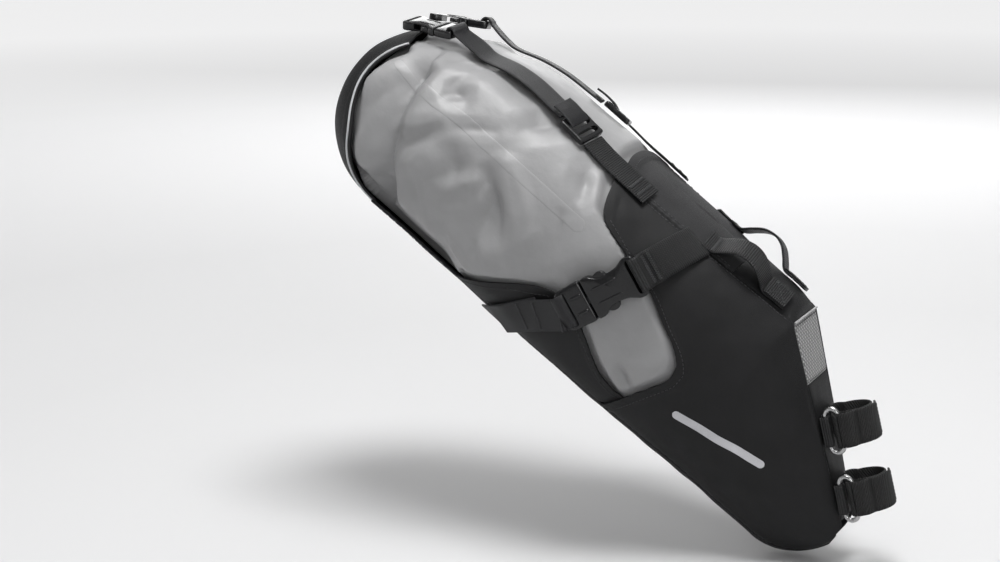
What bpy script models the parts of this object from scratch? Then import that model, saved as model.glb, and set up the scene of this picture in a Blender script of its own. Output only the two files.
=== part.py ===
"""Saddle bag for bikepacking: a black harness that straps to a seatpost and saddle rails, and a dry bag.

World frame: +X forward, +Y to the rider's left, +Z up, metres. The origin is on the seatpost's axis, midway
between the two seatpost straps. The bag has a frame of its own, in millimetres: a runs back and up along its
underside, y is the world's, and n is square to the underside. bag() turns that frame into world metres.
"""

import math

import bmesh
import bpy
from mathutils import Matrix, Vector

MM = 0.001
GAP = 0.4  # between pieces that touch on the real bag
CLOTH = 2.0  # harness fabric with its lining
WEB = 1.6  # webbing
TAB = 1.2  # thinner webbing of the ring tabs
LAY = 1.3  # how far webbing stands off the skin, so that its flat facets stay clear

POST_R = 13.6  # 27.2 mm seatpost
POST_LEAN = math.radians(14)
BAG_RISE = math.radians(37.5)
FRONT = 18.0  # the flat front face, behind the seatpost's axis

SQUARENESS = 2.3  # exponent of the superelliptic sections
BELLY, CROWN = -100.0, 60.0
FULL_WIDTH_AT, FULL_WIDTH = 250.0, 82.0
NOSE_AT, NOSE_WIDTH = -30.0, 15.0
NOSE_ROUND_AT, NOSE_LENGTH, NOSE_HIGH = 20.0, 50.0, -42.0
SLOPE_FROM, SLOPE_DROP = 330.0, 12.0
TAIL_FROM, TAIL_LENGTH = 385.0, 84.0
TONGUE_SHARE = 0.6  # of the half-width
SEAM_N = 53.0  # height of the seams along the top
DRY_INSET, CLOSURE_INSET = 4.0, 8.0

POST_UP = Vector((-math.sin(POST_LEAN), 0, math.cos(POST_LEAN)))
POST_BACK = Vector((-math.cos(POST_LEAN), 0, -math.sin(POST_LEAN)))
BACK = Vector((-math.cos(BAG_RISE), 0, math.sin(BAG_RISE)))
OUT = Vector((math.sin(BAG_RISE), 0, math.cos(BAG_RISE)))
ACROSS = Vector((0, 1, 0))
LEFT, RIGHT = 1, -1
SIDES = (("right", RIGHT), ("left", LEFT))


def bag(a, y, n):
    return (BACK * a + ACROSS * y + OUT * n) * MM


def front_n(a):
    """n of the flat front face at a."""
    up_a, up_n = POST_UP.dot(BACK), POST_UP.dot(OUT)
    back_a, back_n = POST_BACK.dot(BACK) * FRONT, POST_BACK.dot(OUT) * FRONT
    return back_n + up_n * (a - back_a) / up_a


def front_a(n):
    return (n - front_n(0)) / (front_n(1) - front_n(0))


def on_front(t, y, depth=0.0):
    """World point on the front face, t up the seatpost from the origin."""
    return (POST_UP * t + POST_BACK * (FRONT + depth) + ACROSS * y) * MM


# The skin


def half_width(a):
    if a > TAIL_FROM:
        t = min((a - TAIL_FROM) / TAIL_LENGTH, 0.995)
        return FULL_WIDTH * (1 - t**2.6) ** (1 / 2.6)
    share = max(FULL_WIDTH_AT - a, 0) / (FULL_WIDTH_AT - NOSE_AT)
    return FULL_WIDTH - (FULL_WIDTH - NOSE_WIDTH) * share**1.55


def low_and_high(a):
    if a > TAIL_FROM:
        t = min((a - TAIL_FROM) / TAIL_LENGTH, 0.995)
        middle, size = -20 - 8 * t, math.sqrt(1 - t * t)
        return middle - 80 * size, middle + 68 * size
    low = BELLY
    if a < NOSE_ROUND_AT:
        t = (NOSE_ROUND_AT - a) / NOSE_LENGTH
        low = NOSE_HIGH - (NOSE_HIGH - BELLY) * math.sqrt(1 - t * t)
    slope = max(a - SLOPE_FROM, 0) / (TAIL_FROM - SLOPE_FROM)
    return low, min(front_n(a) + 8, CROWN - SLOPE_DROP * slope**2)


def power(x, exponent):
    return math.copysign(abs(x) ** exponent, x)


def section_point(a, angle, inset=0.0):
    """(y, n) on the section at a. The angle is 0 at the belly, 90 degrees at the side, 180 at the crown."""
    low, high = low_and_high(a)
    middle, height, width = (low + high) / 2, (high - low) / 2 - inset, half_width(a) - inset
    y = width * power(math.sin(angle), 2 / SQUARENESS)
    return y, middle - height * power(math.cos(angle), 2 / SQUARENESS)


def angle_at_n(a, n):
    low, high = low_and_high(a)
    share = (2 * n - low - high) / (high - low)
    return math.acos(-power(max(-1.0, min(1.0, share)), SQUARENESS / 2))


def angle_at_y(a, y):
    """On the upper half of the section."""
    return math.pi - math.asin(min(1.0, abs(y) / half_width(a)) ** (SQUARENESS / 2))


def skin(a, angle, lift=0.0):
    """(point, outward normal) in the bag's frame, on its +y side."""
    y, n = section_point(a, angle)
    step = 0.5
    ahead, behind = section_point(a + step, angle), section_point(a - step, angle)
    along = Vector((2 * step, ahead[0] - behind[0], ahead[1] - behind[1]))
    turn = 0.02
    up, down = section_point(a, angle + turn), section_point(a, angle - turn)
    round_ = Vector((0, up[0] - down[0], up[1] - down[1]))
    normal = along.cross(round_).normalized()
    if normal.dot(Vector((0, y, n - sum(low_and_high(a)) / 2))) < 0:
        normal = -normal
    return Vector((a, y, n)) + normal * lift, normal


def skin_world(a, angle, side, lift=0.0):
    point, normal = skin(a, angle, lift)
    return bag(point.x, point.y * side, point.z), bag(normal.x, normal.y * side, normal.z) / MM


# Building objects


def collection(name):
    made = bpy.data.collections.new(name)
    bpy.context.scene.collection.children.link(made)
    return made


def material(name, colour, roughness, metallic=0.0):
    made = bpy.data.materials.new(name)
    made.use_nodes = True
    shader = made.node_tree.nodes["Principled BSDF"]
    shader.inputs["Base Color"].default_value = (*colour, 1)
    shader.inputs["Roughness"].default_value = roughness
    shader.inputs["Metallic"].default_value = metallic
    return made


def add_object(name, mesh, surface, group=None):
    obj = bpy.data.objects.new(name, mesh)
    (group or PARTS).objects.link(obj)
    if surface:
        mesh.materials.append(surface)
        mesh.shade_smooth()
        mesh.set_sharp_from_angle(angle=math.radians(40))
    return obj


def grid_mesh(name, rows):
    mesh = bmesh.new()
    verts = [[mesh.verts.new(point) for point in row] for row in rows]
    for row, above in zip(verts, verts[1:]):
        for i in range(len(row) - 1):
            mesh.faces.new((row[i], row[i + 1], above[i + 1], above[i]))
    data = bpy.data.meshes.new(name)
    mesh.to_mesh(data)
    mesh.free()
    return data


def face_out(data, outward):
    """Turns the faces of an open sheet round if the middle one doesn't face outward."""
    middle = data.polygons[len(data.polygons) // 2]
    if middle.normal.dot(outward) < 0:
        data.flip_normals()


def sheet(name, rows, outward, surface, thickness=CLOTH, offset=-1):
    """An open sheet of points made solid: inwards with offset -1, outwards with offset 1."""
    data = grid_mesh(name, rows)
    face_out(data, outward)
    obj = add_object(name, data, surface)
    solid = obj.modifiers.new("thickness", "SOLIDIFY")
    solid.thickness = thickness * MM
    solid.offset = offset
    solid.use_even_offset = True
    return obj


def ribbon(name, points, normals, width, surface, thickness=WEB):
    """Webbing through the points, lying square to the normals, its inner face on the points."""
    rows = []
    for i, (point, normal) in enumerate(zip(points, normals)):
        ahead = points[min(i + 1, len(points) - 1)] - points[max(i - 1, 0)]
        across = ahead.cross(normal).normalized() * width / 2 * MM
        rows.append((point - across, point + across))
    middle = normals[(len(rows) - 1) // 2]
    return sheet(name, rows, middle, surface, thickness, 1)


def box_mesh(low, high):
    mesh = bmesh.new()
    bmesh.ops.create_cube(mesh, size=1)
    size = Vector(high) - Vector(low)
    middle = (Vector(high) + Vector(low)) / 2
    bmesh.ops.scale(mesh, vec=size, verts=mesh.verts)
    bmesh.ops.translate(mesh, vec=middle, verts=mesh.verts)
    data = bpy.data.meshes.new("box")
    mesh.to_mesh(data)
    mesh.free()
    return data


def box(name, low, high, place, surface, bevel=0.0):
    """A box between two corners in millimetres, in the frame that place gives."""
    data = box_mesh(Vector(low) * MM, Vector(high) * MM)
    obj = add_object(name, data, surface)
    obj.matrix_world = place
    if bevel:
        edge = obj.modifiers.new("edges", "BEVEL")
        edge.width = bevel * MM
        edge.segments = 1
    return obj


def cut(obj, low, high, operation="DIFFERENCE"):
    """Cuts a box out of obj, or joins one to it, in obj's own frame."""
    data = box_mesh(Vector(low) * MM, Vector(high) * MM)
    tool = add_object(f"{obj.name}_{operation.lower()}", data, None, CUTTERS)
    tool.matrix_world = obj.matrix_world
    tool.hide_render = True
    tool.display_type = "WIRE"
    joined = obj.modifiers.new("cut", "BOOLEAN")
    joined.operation = operation
    joined.object = tool


def lerp(start, end, share):
    return start + (end - start) * share


def sample(points, share):
    """The point this share of the way along a polyline of equal-length spans."""
    place = share * (len(points) - 1)
    i = min(int(place), len(points) - 2)
    return lerp(Vector(points[i]), Vector(points[i + 1]), place - i)


def coons(bottom, top, front, rear, steps_u, steps_v):
    """Rows of points between four edge curves, each a list of 2D points."""
    rows = []
    for j in range(steps_v + 1):
        v = j / steps_v
        row = []
        for i in range(steps_u + 1):
            u = i / steps_u
            ruled = lerp(sample(bottom, u), sample(top, u), v) + lerp(sample(front, v), sample(rear, v), u)
            low = lerp(Vector(bottom[0]), Vector(bottom[-1]), u)
            high = lerp(Vector(top[0]), Vector(top[-1]), u)
            row.append(ruled - lerp(low, high, v))
        rows.append(row)
    return rows


def evenly(start, end, count):
    return [lerp(start, end, i / (count - 1)) for i in range(count)]


def resample(points, count):
    """The same polyline with its points spread evenly by length."""
    points = [Vector(p) for p in points]
    lengths = [0.0]
    for a, b in zip(points, points[1:]):
        lengths.append(lengths[-1] + (b - a).length)
    found = []
    for want in evenly(0.0, lengths[-1], count):
        i = max(k for k in range(len(points) - 1) if lengths[k] <= want + 1e-9)
        span = max(lengths[i + 1] - lengths[i], 1e-9)
        found.append(lerp(points[i], points[i + 1], min((want - lengths[i]) / span, 1.0)))
    return found


# Harness panels

TONGUE_ANGLE = math.asin(TONGUE_SHARE ** (SQUARENESS / 2))


def edge_turn(a):
    """Half the gap between the tongue and its neighbours, as a turn round the section."""
    low, high = low_and_high(a)
    return 2.4 / (high - low)


def skin_sheet(name, rows, side, surface):
    """rows hold (a, angle) pairs."""
    points = [[skin_world(a, angle, side)[0] for a, angle in row] for row in rows]
    a, angle = rows[len(rows) // 2][len(rows[0]) // 2]
    return sheet(name, points, skin_world(a, angle, side)[1], surface)


def outline(points, shift=0.0):
    """An outline given as (a, n) turned into (a, angle)."""
    return [(a + shift, angle_at_n(a + shift, n)) for a, n in points]


CUP_REAR = ((161, -88), (156, -78), (150, -65), (143, -50), (136, -36), (132, -24))
WINDOW_TOP = ((136, -14), (146, -5), (161, 3), (183, 15), (212, 24), (242, 33), (257, 49))


def side_panel(name, side):
    """The cup's side, from the tongue's edge to the top seam, with the window's front cut out of it."""
    start, end = NOSE_AT + 4, CUP_REAR[0][0]
    bottom = [(a, TONGUE_ANGLE + edge_turn(a)) for a in evenly(start, end, 12)]
    corner = front_a(SEAM_N)
    top = [(a, angle_at_n(a, SEAM_N - 0.4)) for a in evenly(corner, WINDOW_TOP[-1][0], 12)]
    front = [bottom[0], (start, math.radians(75))]
    for a in evenly(start + 2, corner, 9):
        front.append((a, angle_at_n(a, front_n(a))))
    rear = [bottom[-1], *outline(CUP_REAR[1:] + WINDOW_TOP[:-1]), top[-1]]
    rows = coons(resample_outline(bottom), top, resample_outline(front), resample_outline(rear), 11, 14)
    return skin_sheet(name, rows, side, FABRIC)


def resample_outline(points):
    """Evenly by length, with the angle weighed as the distance that it turns through."""
    reach = 80.0
    spread = resample([(a, angle * reach) for a, angle in points], len(points) + 4)
    return [(p[0], p[1] / reach) for p in spread]


def over_row(a_of, angle_of, steps=12):
    """World points across the crown: a_of and angle_of take a share from -1, right, to 1, left."""
    row = []
    for share in evenly(-1.0, 1.0, steps + 1):
        a = a_of(share)
        angle = math.pi - (math.pi - angle_of(a)) * abs(share)
        row.append(skin_world(a, angle, LEFT if share > 0 else RIGHT)[0])
    return row


def seam_angle(a):
    return angle_at_n(a, SEAM_N + 0.4)


TOP_SEAM_A = 150.0
YOKE_REAR_A, YOKE_ARCH = 250.0, 12.0


def front_edge_a(share):
    """a of the front face's top edge, which arches between the side seams."""
    low, high = front_a(SEAM_N + 1), front_a(CROWN)
    return lerp(low, high, (1 - share**2) ** 0.5 * 0.98 + 0.02) + 1.2


def front_top_panel():
    rows = []
    for v in evenly(0.0, 1.0, 5):
        rows.append(over_row(lambda s, v=v: lerp(front_edge_a(s), TOP_SEAM_A - GAP / 2, v), seam_angle))
    return sheet("front_top_panel", rows, OUT, FABRIC)


def yoke_panel():
    rows = []
    for v in evenly(0.0, 1.0, 7):
        rows.append(
            over_row(
                lambda s, v=v: lerp(TOP_SEAM_A + GAP / 2, YOKE_REAR_A + YOKE_ARCH * (1 - s * s), v),
                seam_angle,
            )
        )
    return sheet("yoke_panel", rows, OUT, YOKE_FABRIC)


def front_edge_y(t):
    """Half-width of the front face at t, inside the side panels."""
    point = on_front(t, 0) / MM
    a, n = point.dot(BACK), point.dot(OUT)
    return section_point(a, angle_at_n(a, n))[0] - CLOTH - 1.0


PATCH_FROM, PATCH_TO = 61.0, 106.0


def front_rows(start, end, count):
    rows = []
    for t in evenly(start, end, count):
        edge = front_edge_y(t)
        rows.append([on_front(t, y) for y in evenly(-edge, edge, 5)])
    return rows


def front_panels():
    sheet("front_panel", front_rows(-42.0, PATCH_FROM - GAP, 9), -POST_BACK, FABRIC)
    sheet("seatpost_patch", front_rows(PATCH_FROM, PATCH_TO, 5), -POST_BACK, PATCH)


def underside_tongue():
    rows = []
    for a in (-26, -20, -12, 0, 20, 60, 110, 165, 220, 275, 330, TAIL_FROM - GAP):
        low = TONGUE_ANGLE - edge_turn(a)
        rows.append([skin_world(a, abs(t), LEFT if t > 0 else RIGHT)[0] for t in evenly(-low, low, 9)])
    return sheet("underside_tongue", rows, -OUT, FABRIC)


FLAP_END = math.radians(47)
FLAP_EDGES = (49.0, 40.0)
FLAP_BULGE = 26.0  # how much broader the flap is halfway up, where it cups the tail


def tail_point(turn, y, lift=0.0):
    """On the tail's surface. turn is -90 degrees at the underside and 0 at the rearmost line."""
    shrink = (1 - abs(y / FULL_WIDTH) ** SQUARENESS) ** (1 / SQUARENESS)
    height = (80 if turn < 0 else 68) * shrink + lift
    a = TAIL_FROM + (TAIL_LENGTH * shrink + lift) * math.cos(turn)
    return bag(a, y, -20 - 8 * math.cos(turn) + height * math.sin(turn))


def flap_edge(turn):
    share = (turn + math.pi / 2) / (FLAP_END + math.pi / 2)
    return lerp(*FLAP_EDGES, share) + FLAP_BULGE * math.sin(math.pi * share)


def tail_flap():
    rows = []
    for turn in evenly(-math.pi / 2, FLAP_END, 13):
        edge = flap_edge(turn)
        rows.append([tail_point(turn, y) for y in evenly(-edge, edge, 9)])
    return sheet("tail_flap", rows, BACK, FABRIC)


def piping(name, side):
    bead_r, clear = 1.5, 0.5
    points = []
    for turn in evenly(-math.pi / 2 + 0.01, FLAP_END, 18):
        edge = flap_edge(turn)
        arc_per_y = (tail_point(turn, edge + 1) - tail_point(turn, edge)).length / MM
        y = edge + (bead_r + clear) / arc_per_y
        points.append(tail_point(turn, y * side, -1.0))
    return tube(name, points, bead_r, PIPING)


WING_TOP = ((155, -67), (169, -61), (179, -55), (196, -42), (212, -33), (235, -31), (262, -50), (300, -80))


def wing(name, side):
    """The dark cloth that rises from the tongue's edge behind the cup."""
    edge = TONGUE_ANGLE + edge_turn(FULL_WIDTH_AT)
    bottom = [(a, edge) for a in evenly(CUP_REAR[0][0] + 1.2, 300, 9)]
    front = [bottom[0], *outline(((159.5, -80), (155, -67)), 0.8)]
    top = outline(WING_TOP[:-1], 0.8) + [(300.8, edge + 0.09)]
    rows = coons(bottom, resample_outline(top), front, [bottom[-1], top[-1]], 10, 4)
    return skin_sheet(name, rows, side, FABRIC)


def tube(name, points, radius, surface, closed=False):
    curve = bpy.data.curves.new(name, "CURVE")
    curve.dimensions = "3D"
    curve.bevel_depth = radius * MM
    curve.bevel_resolution = 1
    curve.use_fill_caps = not closed
    spline = curve.splines.new("POLY")
    spline.points.add(len(points) - 1)
    for point, place in zip(spline.points, points):
        point.co = (*place, 1)
    spline.use_cyclic_u = closed
    obj = bpy.data.objects.new(name, curve)
    PARTS.objects.link(obj)
    curve.materials.append(surface)
    return obj


# Webbing


def skin_ribbon(name, side, path, width, surface, thickness=WEB):
    """path holds (a, angle, lift)."""
    found = [skin_world(a, angle, side, lift) for a, angle, lift in path]
    return ribbon(name, [p for p, _ in found], [n for _, n in found], width, surface, thickness)


def top_path(stops):
    """Stops of (a, y, lift) on the upper side."""
    return [(a, angle_at_y(a, y), lift) for a, y, lift in stops]


RAIL_ARCH = (
    (108, 20, LAY), (118, 21, LAY), (127, 22, LAY), (134, 23, 7.5), (141, 24, 13), (149, 25, 15),
    (157, 26, 13), (164, 27, 7.5), (171, 28, LAY), (180, 29, LAY),
)  # fmt: skip
RAIL_STRAP_WIDTH = 20.0
LOCK_A, LOCK_Y = 297.0, 35.0
TOP_WIDTH = 20.0


def rail_strap(name, side):
    return skin_ribbon(name, side, top_path(RAIL_ARCH), RAIL_STRAP_WIDTH, WEBBING)


def frame_at(point, normal, heading):
    """A placing matrix: X along heading, Z along normal."""
    z = normal.normalized()
    x = (heading - z * heading.dot(z)).normalized()
    y = z.cross(x)
    return Matrix.Translation(point) @ Matrix((x, y, z)).transposed().to_4x4()


def skin_frame(a, angle, side, lift, heading):
    point, normal = skin_world(a, angle, side, lift)
    return frame_at(point, normal, heading)


def strap_heading(side):
    """Forwards along a top strap, whose distance from the middle grows towards the front."""
    return -BACK + ACROSS * side * 0.1


def lock_place(side):
    return skin_frame(LOCK_A, angle_at_y(LOCK_A, LOCK_Y), side, LAY, strap_heading(side))


def ladder_lock(name, side):
    """A frame with two crossbars. It tips about its front bar, where the anchor webbing loops round."""
    lock = box(name, (-13, -13, 0.6), (10, 13, 5.4), lock_place(side), PLASTIC)
    cut(lock, (2, -10.6, -2), (7.2, 10.6, 8))
    cut(lock, (-8, -10.6, -2), (-1, 10.6, 8))
    return lock


def top_strap(name, side):
    stops = (
        (404, 23.2, 4.6), (396, 24, 3), (385, 25.2, LAY),
        (365, 27, LAY), (345, 29.5, LAY), (325, 32, LAY),
    )
    path = top_path(stops) + top_path(((312.5, 33.5, 2.0),))
    return skin_ribbon(name, side, path, TOP_WIDTH, TWILL)


def top_anchor(name, side):
    stops = (
        (286, 36.2, 2.4), (278, 37, 2.0), (266, 37.6, LAY),
        (252, 38, LAY), (240, 38, LAY), (228, 38, LAY),
    )
    return skin_ribbon(name, side, top_path(stops), TOP_WIDTH, WEBBING)


# Side-release buckles


def buckle(prefix, place, scale, names=("female", "male", "arm_a", "arm_b")):
    """X runs from the housing to the plug's bar, and Z is away from the bag. Returns the plug's name."""

    def part(name, low, high):
        return box(f"{prefix}_{name}", Vector(low) * scale, Vector(high) * scale, place, PLASTIC)

    def carve(obj, low, high, operation="DIFFERENCE"):
        cut(obj, Vector(low) * scale, Vector(high) * scale, operation)

    female = part(names[0], (-8, -15.5, 0), (34, 15.5, 10))
    carve(female, (6, -12.5, 2), (36, 12.5, 8))
    carve(female, (14, -17, 2), (36, 17, 8))
    carve(female, (-5, -13, -2), (-1, 13, 12))
    male = part(names[1], (34.6, -15.5, 0.5), (56, 15.5, 9.5))
    carve(male, (12, -3, 2.6), (36, 3, 7.4), "UNION")
    carve(male, (48, -13, -2), (52.5, 13, 12))
    for name, sign in zip(names[2:], (1, -1)):
        arm(f"{prefix}_{name}", place, scale, sign)


ARM_PIVOT = (33.5, 11.0)


def arm(name, place, scale, sign):
    """A sprung arm: a slim root by the plug's block, and a broad pad that shows at the housing's side."""
    stem = sorted((8.0 * sign, 11.5 * sign))
    pad = sorted((8.0 * sign, 15.0 * sign))
    obj = box(name, Vector((15, stem[0], 2.6)) * scale, Vector((33.4, stem[1], 7.4)) * scale, place, PLASTIC)
    cut(obj, Vector((15.5, pad[0], 2.8)) * scale, Vector((26, pad[1], 7.2)) * scale, "UNION")
    return obj


SIDE_BUCKLE = ((193, 26), (219, -35))  # (a, n) of the housing's end and the plug's end


def side_buckle_place(side):
    (a0, n0), (a1, n1) = SIDE_BUCKLE
    a, n = (a0 + a1) / 2, (n0 + n1) / 2
    point, normal = skin_world(a, angle_at_n(a, n), side, 3.2)
    heading = bag(a1 - a0, 0, n1 - n0)
    place = frame_at(point, normal, heading)
    return place @ Matrix.Translation(Vector((-24, 0, 0)) * MM)


TOP_SCALE = 0.7


def top_buckle_place(side):
    a, y = 431, 22
    return skin_frame(a, angle_at_y(a, y), side, 2.2, strap_heading(side)) @ Matrix.Translation(
        Vector((-17, 0, 0)) * MM
    )


CLOSURE_SCALE = 0.55
CLOSURE_END_A = 449.0


def closure_place():
    point = bag(CLOSURE_END_A + 0.8, -13, -27)
    return frame_at(point, BACK, ACROSS)


def closure_buckle():
    buckle("closure_buckle", closure_place(), CLOSURE_SCALE, ("female", "male"))


TAB_OUT, TAB_WIDTH = 42.0, 12.0  # the closure's tabs, along y and across


def closure_tab(name, y_from, y_to):
    """Webbing on the closure's end face, from the buckle's bar outwards."""
    low, high = sorted((y_from, y_to))
    points = [bag(CLOSURE_END_A + 0.6, y, -27) for y in evenly(low, high, 3)]
    return ribbon(name, points, [BACK] * 3, TAB_WIDTH, WEBBING, TAB)


def closure_ring():
    """A D-ring lying on the right closure tab, its straight side outwards."""
    radius, wire, lift = 7.0, 1.2, 3.4
    points = []
    for degrees in evenly(-90, 90, 9):
        turn = math.radians(degrees)
        y = -33 + radius * math.cos(turn)
        points.append(bag(CLOSURE_END_A + lift, y, -27 + radius * math.sin(turn)))
    return tube("closure_d_ring", points, wire, PLASTIC, closed=True)


def side_tab(name, side):
    stops = (
        (263, -91, LAY), (256, -83, LAY), (248, -72, LAY),
        (239, -59, LAY), (231, -48, 2.2), (227, -43, 3.4),
    )
    path = [(a, angle_at_n(a, n), lift) for a, n, lift in stops]
    return skin_ribbon(name, side, path, 25, WEBBING)


def side_strap(name, side):
    stops = ((190.5, 33.5, 3.6), (188.5, 38, 2.2), (186.5, 43, LAY), (184.5, 48, LAY), (183, 51.5, LAY))
    path = [(a, angle_at_n(a, n), lift) for a, n, lift in stops]
    return skin_ribbon(name, side, path, 25, WEBBING)


# Seatpost straps

STRAP_AT = (("upper", 25.0), ("lower", -25.0))
STRAP_WIDTH = 25.0
LOOP_R = POST_R + GAP
RING_WIRE = 1.75
RING_NEAR, RING_FAR = (-3.5, -19.4), (-13.0, -19.0)  # the ring's two long bars, as (forward, y)


def by_post(forward, y, t):
    """World point near the seatpost: forward of its axis, at height t along it."""
    return (-POST_BACK * forward + ACROSS * y + POST_UP * t) * MM


def post_ribbon(name, outline_2d, t, width=STRAP_WIDTH, thickness=WEB, surface=None):
    """Webbing standing parallel to the seatpost along an outline of (forward, y)."""
    rows = [(by_post(f, y, t - width / 2), by_post(f, y, t + width / 2)) for f, y in outline_2d]
    data = grid_mesh(name, rows)
    obj = add_object(name, data, surface or HOOK_WEBBING)
    solid = obj.modifiers.new("thickness", "SOLIDIFY")
    solid.thickness = thickness * MM
    solid.offset = 1
    solid.use_even_offset = True
    middle = data.polygons[len(data.polygons) // 2]
    f, y = outline_2d[len(outline_2d) // 2]
    if middle.normal.dot(by_post(f, y, 0)) < 0:
        data.flip_normals()
    return obj


def arc(radius, start, end, count, middle=(0.0, 0.0)):
    """Points at angles from forward towards the left, in degrees."""
    found = []
    for degrees in evenly(start, end, count):
        turn = math.radians(degrees)
        found.append((middle[0] + radius * math.cos(turn), middle[1] + radius * math.sin(turn)))
    return found


def seatpost_strap(name, t):
    """From its sewn end on the front panel, round the post's left and front, and back through the ring."""
    flat = -FRONT + WEB + 0.6
    sewn = [(flat, 7.5), (flat, 11.5), (-13.0, 14.6)]
    loop = arc(LOOP_R + 0.6, 120, -86, 17)
    return post_ribbon(name, sewn + loop + arc(RING_WIRE + WEB + 1.1, 90, 270, 9, RING_NEAR), t)


def free_end(name, t):
    """The loose end: forward from the ring, outside the strap, round to the front of the post."""
    start = RING_NEAR[1] - RING_WIRE - 1.1
    leaving = [(RING_NEAR[0] + 0.7, start), (1.0, start + 0.3), (4.6, start + 1.9)]
    return post_ribbon(name, leaving + arc(LOOP_R + WEB + 1.6, -64, 25, 9), t)


def ring_path(t):
    """The ring's centre line: two long bars parallel to the post, with round ends."""
    half, points = 16.0, []
    middle = ((RING_NEAR[0] + RING_FAR[0]) / 2, (RING_NEAR[1] + RING_FAR[1]) / 2)
    reach = (RING_NEAR[0] - RING_FAR[0]) / 2
    straight = half - reach
    for degrees in range(0, 360, 20):
        turn = math.radians(degrees)
        shift = straight if math.sin(turn) >= 0 else -straight
        share = math.cos(turn)
        f = middle[0] + reach * share
        y = middle[1] + (RING_NEAR[1] - RING_FAR[1]) / 2 * share
        points.append(by_post(f, y, t + shift + reach * math.sin(turn)))
    return points


def ring_tab(t):
    """Rows of webbing looped through the ring's rear bar and sewn to the front panel's edge."""
    inside = RING_WIRE + 0.5
    turn = arc(inside, -90, 90, 7, RING_FAR)
    end_in = [(-FRONT + 0.5, -14.6), (-FRONT + 0.5, -9.0)]
    tail = [(RING_FAR[0] - 3.2, RING_FAR[1] - inside)]
    rows = [(by_post(f, y, t - 11), by_post(f, y, t + 11)) for f, y in tail + turn + end_in]
    return rows


# Dry bag


def loft(name, rings, surface):
    """A closed solid through rings of points, with a fan at each end."""
    mesh = bmesh.new()
    verts = [[mesh.verts.new(point) for point in ring] for ring in rings]
    for ring, after in zip(verts, verts[1:]):
        for i in range(len(ring)):
            j = (i + 1) % len(ring)
            mesh.faces.new((ring[i], ring[j], after[j], after[i]))
    for ring in (verts[0], verts[-1]):
        hub = mesh.verts.new(sum((v.co for v in ring), Vector()) / len(ring))
        for i in range(len(ring)):
            mesh.faces.new((ring[i], ring[(i + 1) % len(ring)], hub))
    bmesh.ops.recalc_face_normals(mesh, faces=mesh.faces)
    data = bpy.data.meshes.new(name)
    mesh.to_mesh(data)
    mesh.free()
    return add_object(name, data, surface)


def dry_ring(a, shrink=1.0, inset=DRY_INSET):
    """A ring of the dry bag, kept behind the front face."""
    low, high = low_and_high(a)
    low, high = low + inset, min(high - inset, front_n(a) - inset - 1)
    middle, height = (low + high) / 2, (high - low) / 2 * shrink
    width = (half_width(a) - inset) * shrink
    ring = []
    for i in range(24):
        turn = 2 * math.pi * i / 24
        y = width * power(math.sin(turn), 2 / SQUARENESS)
        ring.append(bag(a, y, middle - height * power(math.cos(turn), 2 / SQUARENESS)))
    return ring


def dry_bag():
    stations = (28, 45, 70, 95, 112, 140, 180, 220, 260, 300, 330, 350, 370, 388, 399)
    rings = [dry_ring(20, 0.6), *(dry_ring(a) for a in stations), dry_ring(405, 0.94)]
    loft("dry_bag_body", rings, DRY_FABRIC)
    shape = ((406, 0.95), (411, 1.0), (424, 1.0), (437, 1.0), (445, 0.98), (CLOSURE_END_A, 0.9))
    lobe = [dry_ring(a, shrink, CLOSURE_INSET) for a, shrink in shape]
    loft("dry_bag_closure", lobe, DRY_FABRIC)


def clear_scene():
    for obj in list(bpy.data.objects):
        bpy.data.objects.remove(obj, do_unlink=True)


clear_scene()
PARTS = collection("saddle_bag")
CUTTERS = collection("cutters")
FABRIC = material("harness fabric", (0.012, 0.012, 0.013), 0.6)
YOKE_FABRIC = material("yoke fabric", (0.03, 0.03, 0.032), 0.75)
WEBBING = material("webbing", (0.015, 0.015, 0.016), 0.7)
TWILL = material("twill strap", (0.02, 0.02, 0.022), 0.6)
HOOK_WEBBING = material("hook and loop strap", (0.012, 0.012, 0.012), 0.9)
PLASTIC = material("buckle plastic", (0.008, 0.008, 0.009), 0.25)
METAL = material("ring metal", (0.6, 0.6, 0.6), 0.25, 1.0)
PIPING = material("piping", (0.45, 0.46, 0.47), 0.5)
PATCH = material("seatpost patch", (0.4, 0.4, 0.4), 0.5)
DRY_FABRIC = material("dry bag fabric", (0.42, 0.42, 0.43), 0.5)

underside_tongue()
tail_flap()
front_panels()
front_top_panel()
yoke_panel()
for word, sign in SIDES:
    side_panel(f"side_panel_{word}", sign)
    wing(f"wing_{word}", sign)
    piping(f"tail_piping_{word}", sign)
    rail_strap(f"rail_strap_{word}", sign)
    top_anchor(f"top_anchor_{word}", sign)
    ladder_lock(f"ladder_lock_{word}", sign)
    top_strap(f"top_strap_{word}", sign)
    side_tab(f"side_tab_{word}", sign)
    side_strap(f"side_strap_{word}", sign)
    buckle(f"side_buckle_{word}", side_buckle_place(sign), 1.0)
    buckle(f"top_buckle_{word}", top_buckle_place(sign), TOP_SCALE)
for word, height in STRAP_AT:
    seatpost_strap(f"seatpost_strap_{word}", height)
    free_end(f"free_end_{word}", height)
    tube(f"strap_ring_{word}", ring_path(height), RING_WIRE, METAL, closed=True)
    sheet(f"ring_tab_{word}", ring_tab(height), -POST_BACK, WEBBING, TAB, 1)
dry_bag()
closure_buckle()
closure_tab("closure_tab_right", -TAB_OUT, -18.2)
closure_tab("closure_tab_left", 18.6, TAB_OUT)
closure_ring()
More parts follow.
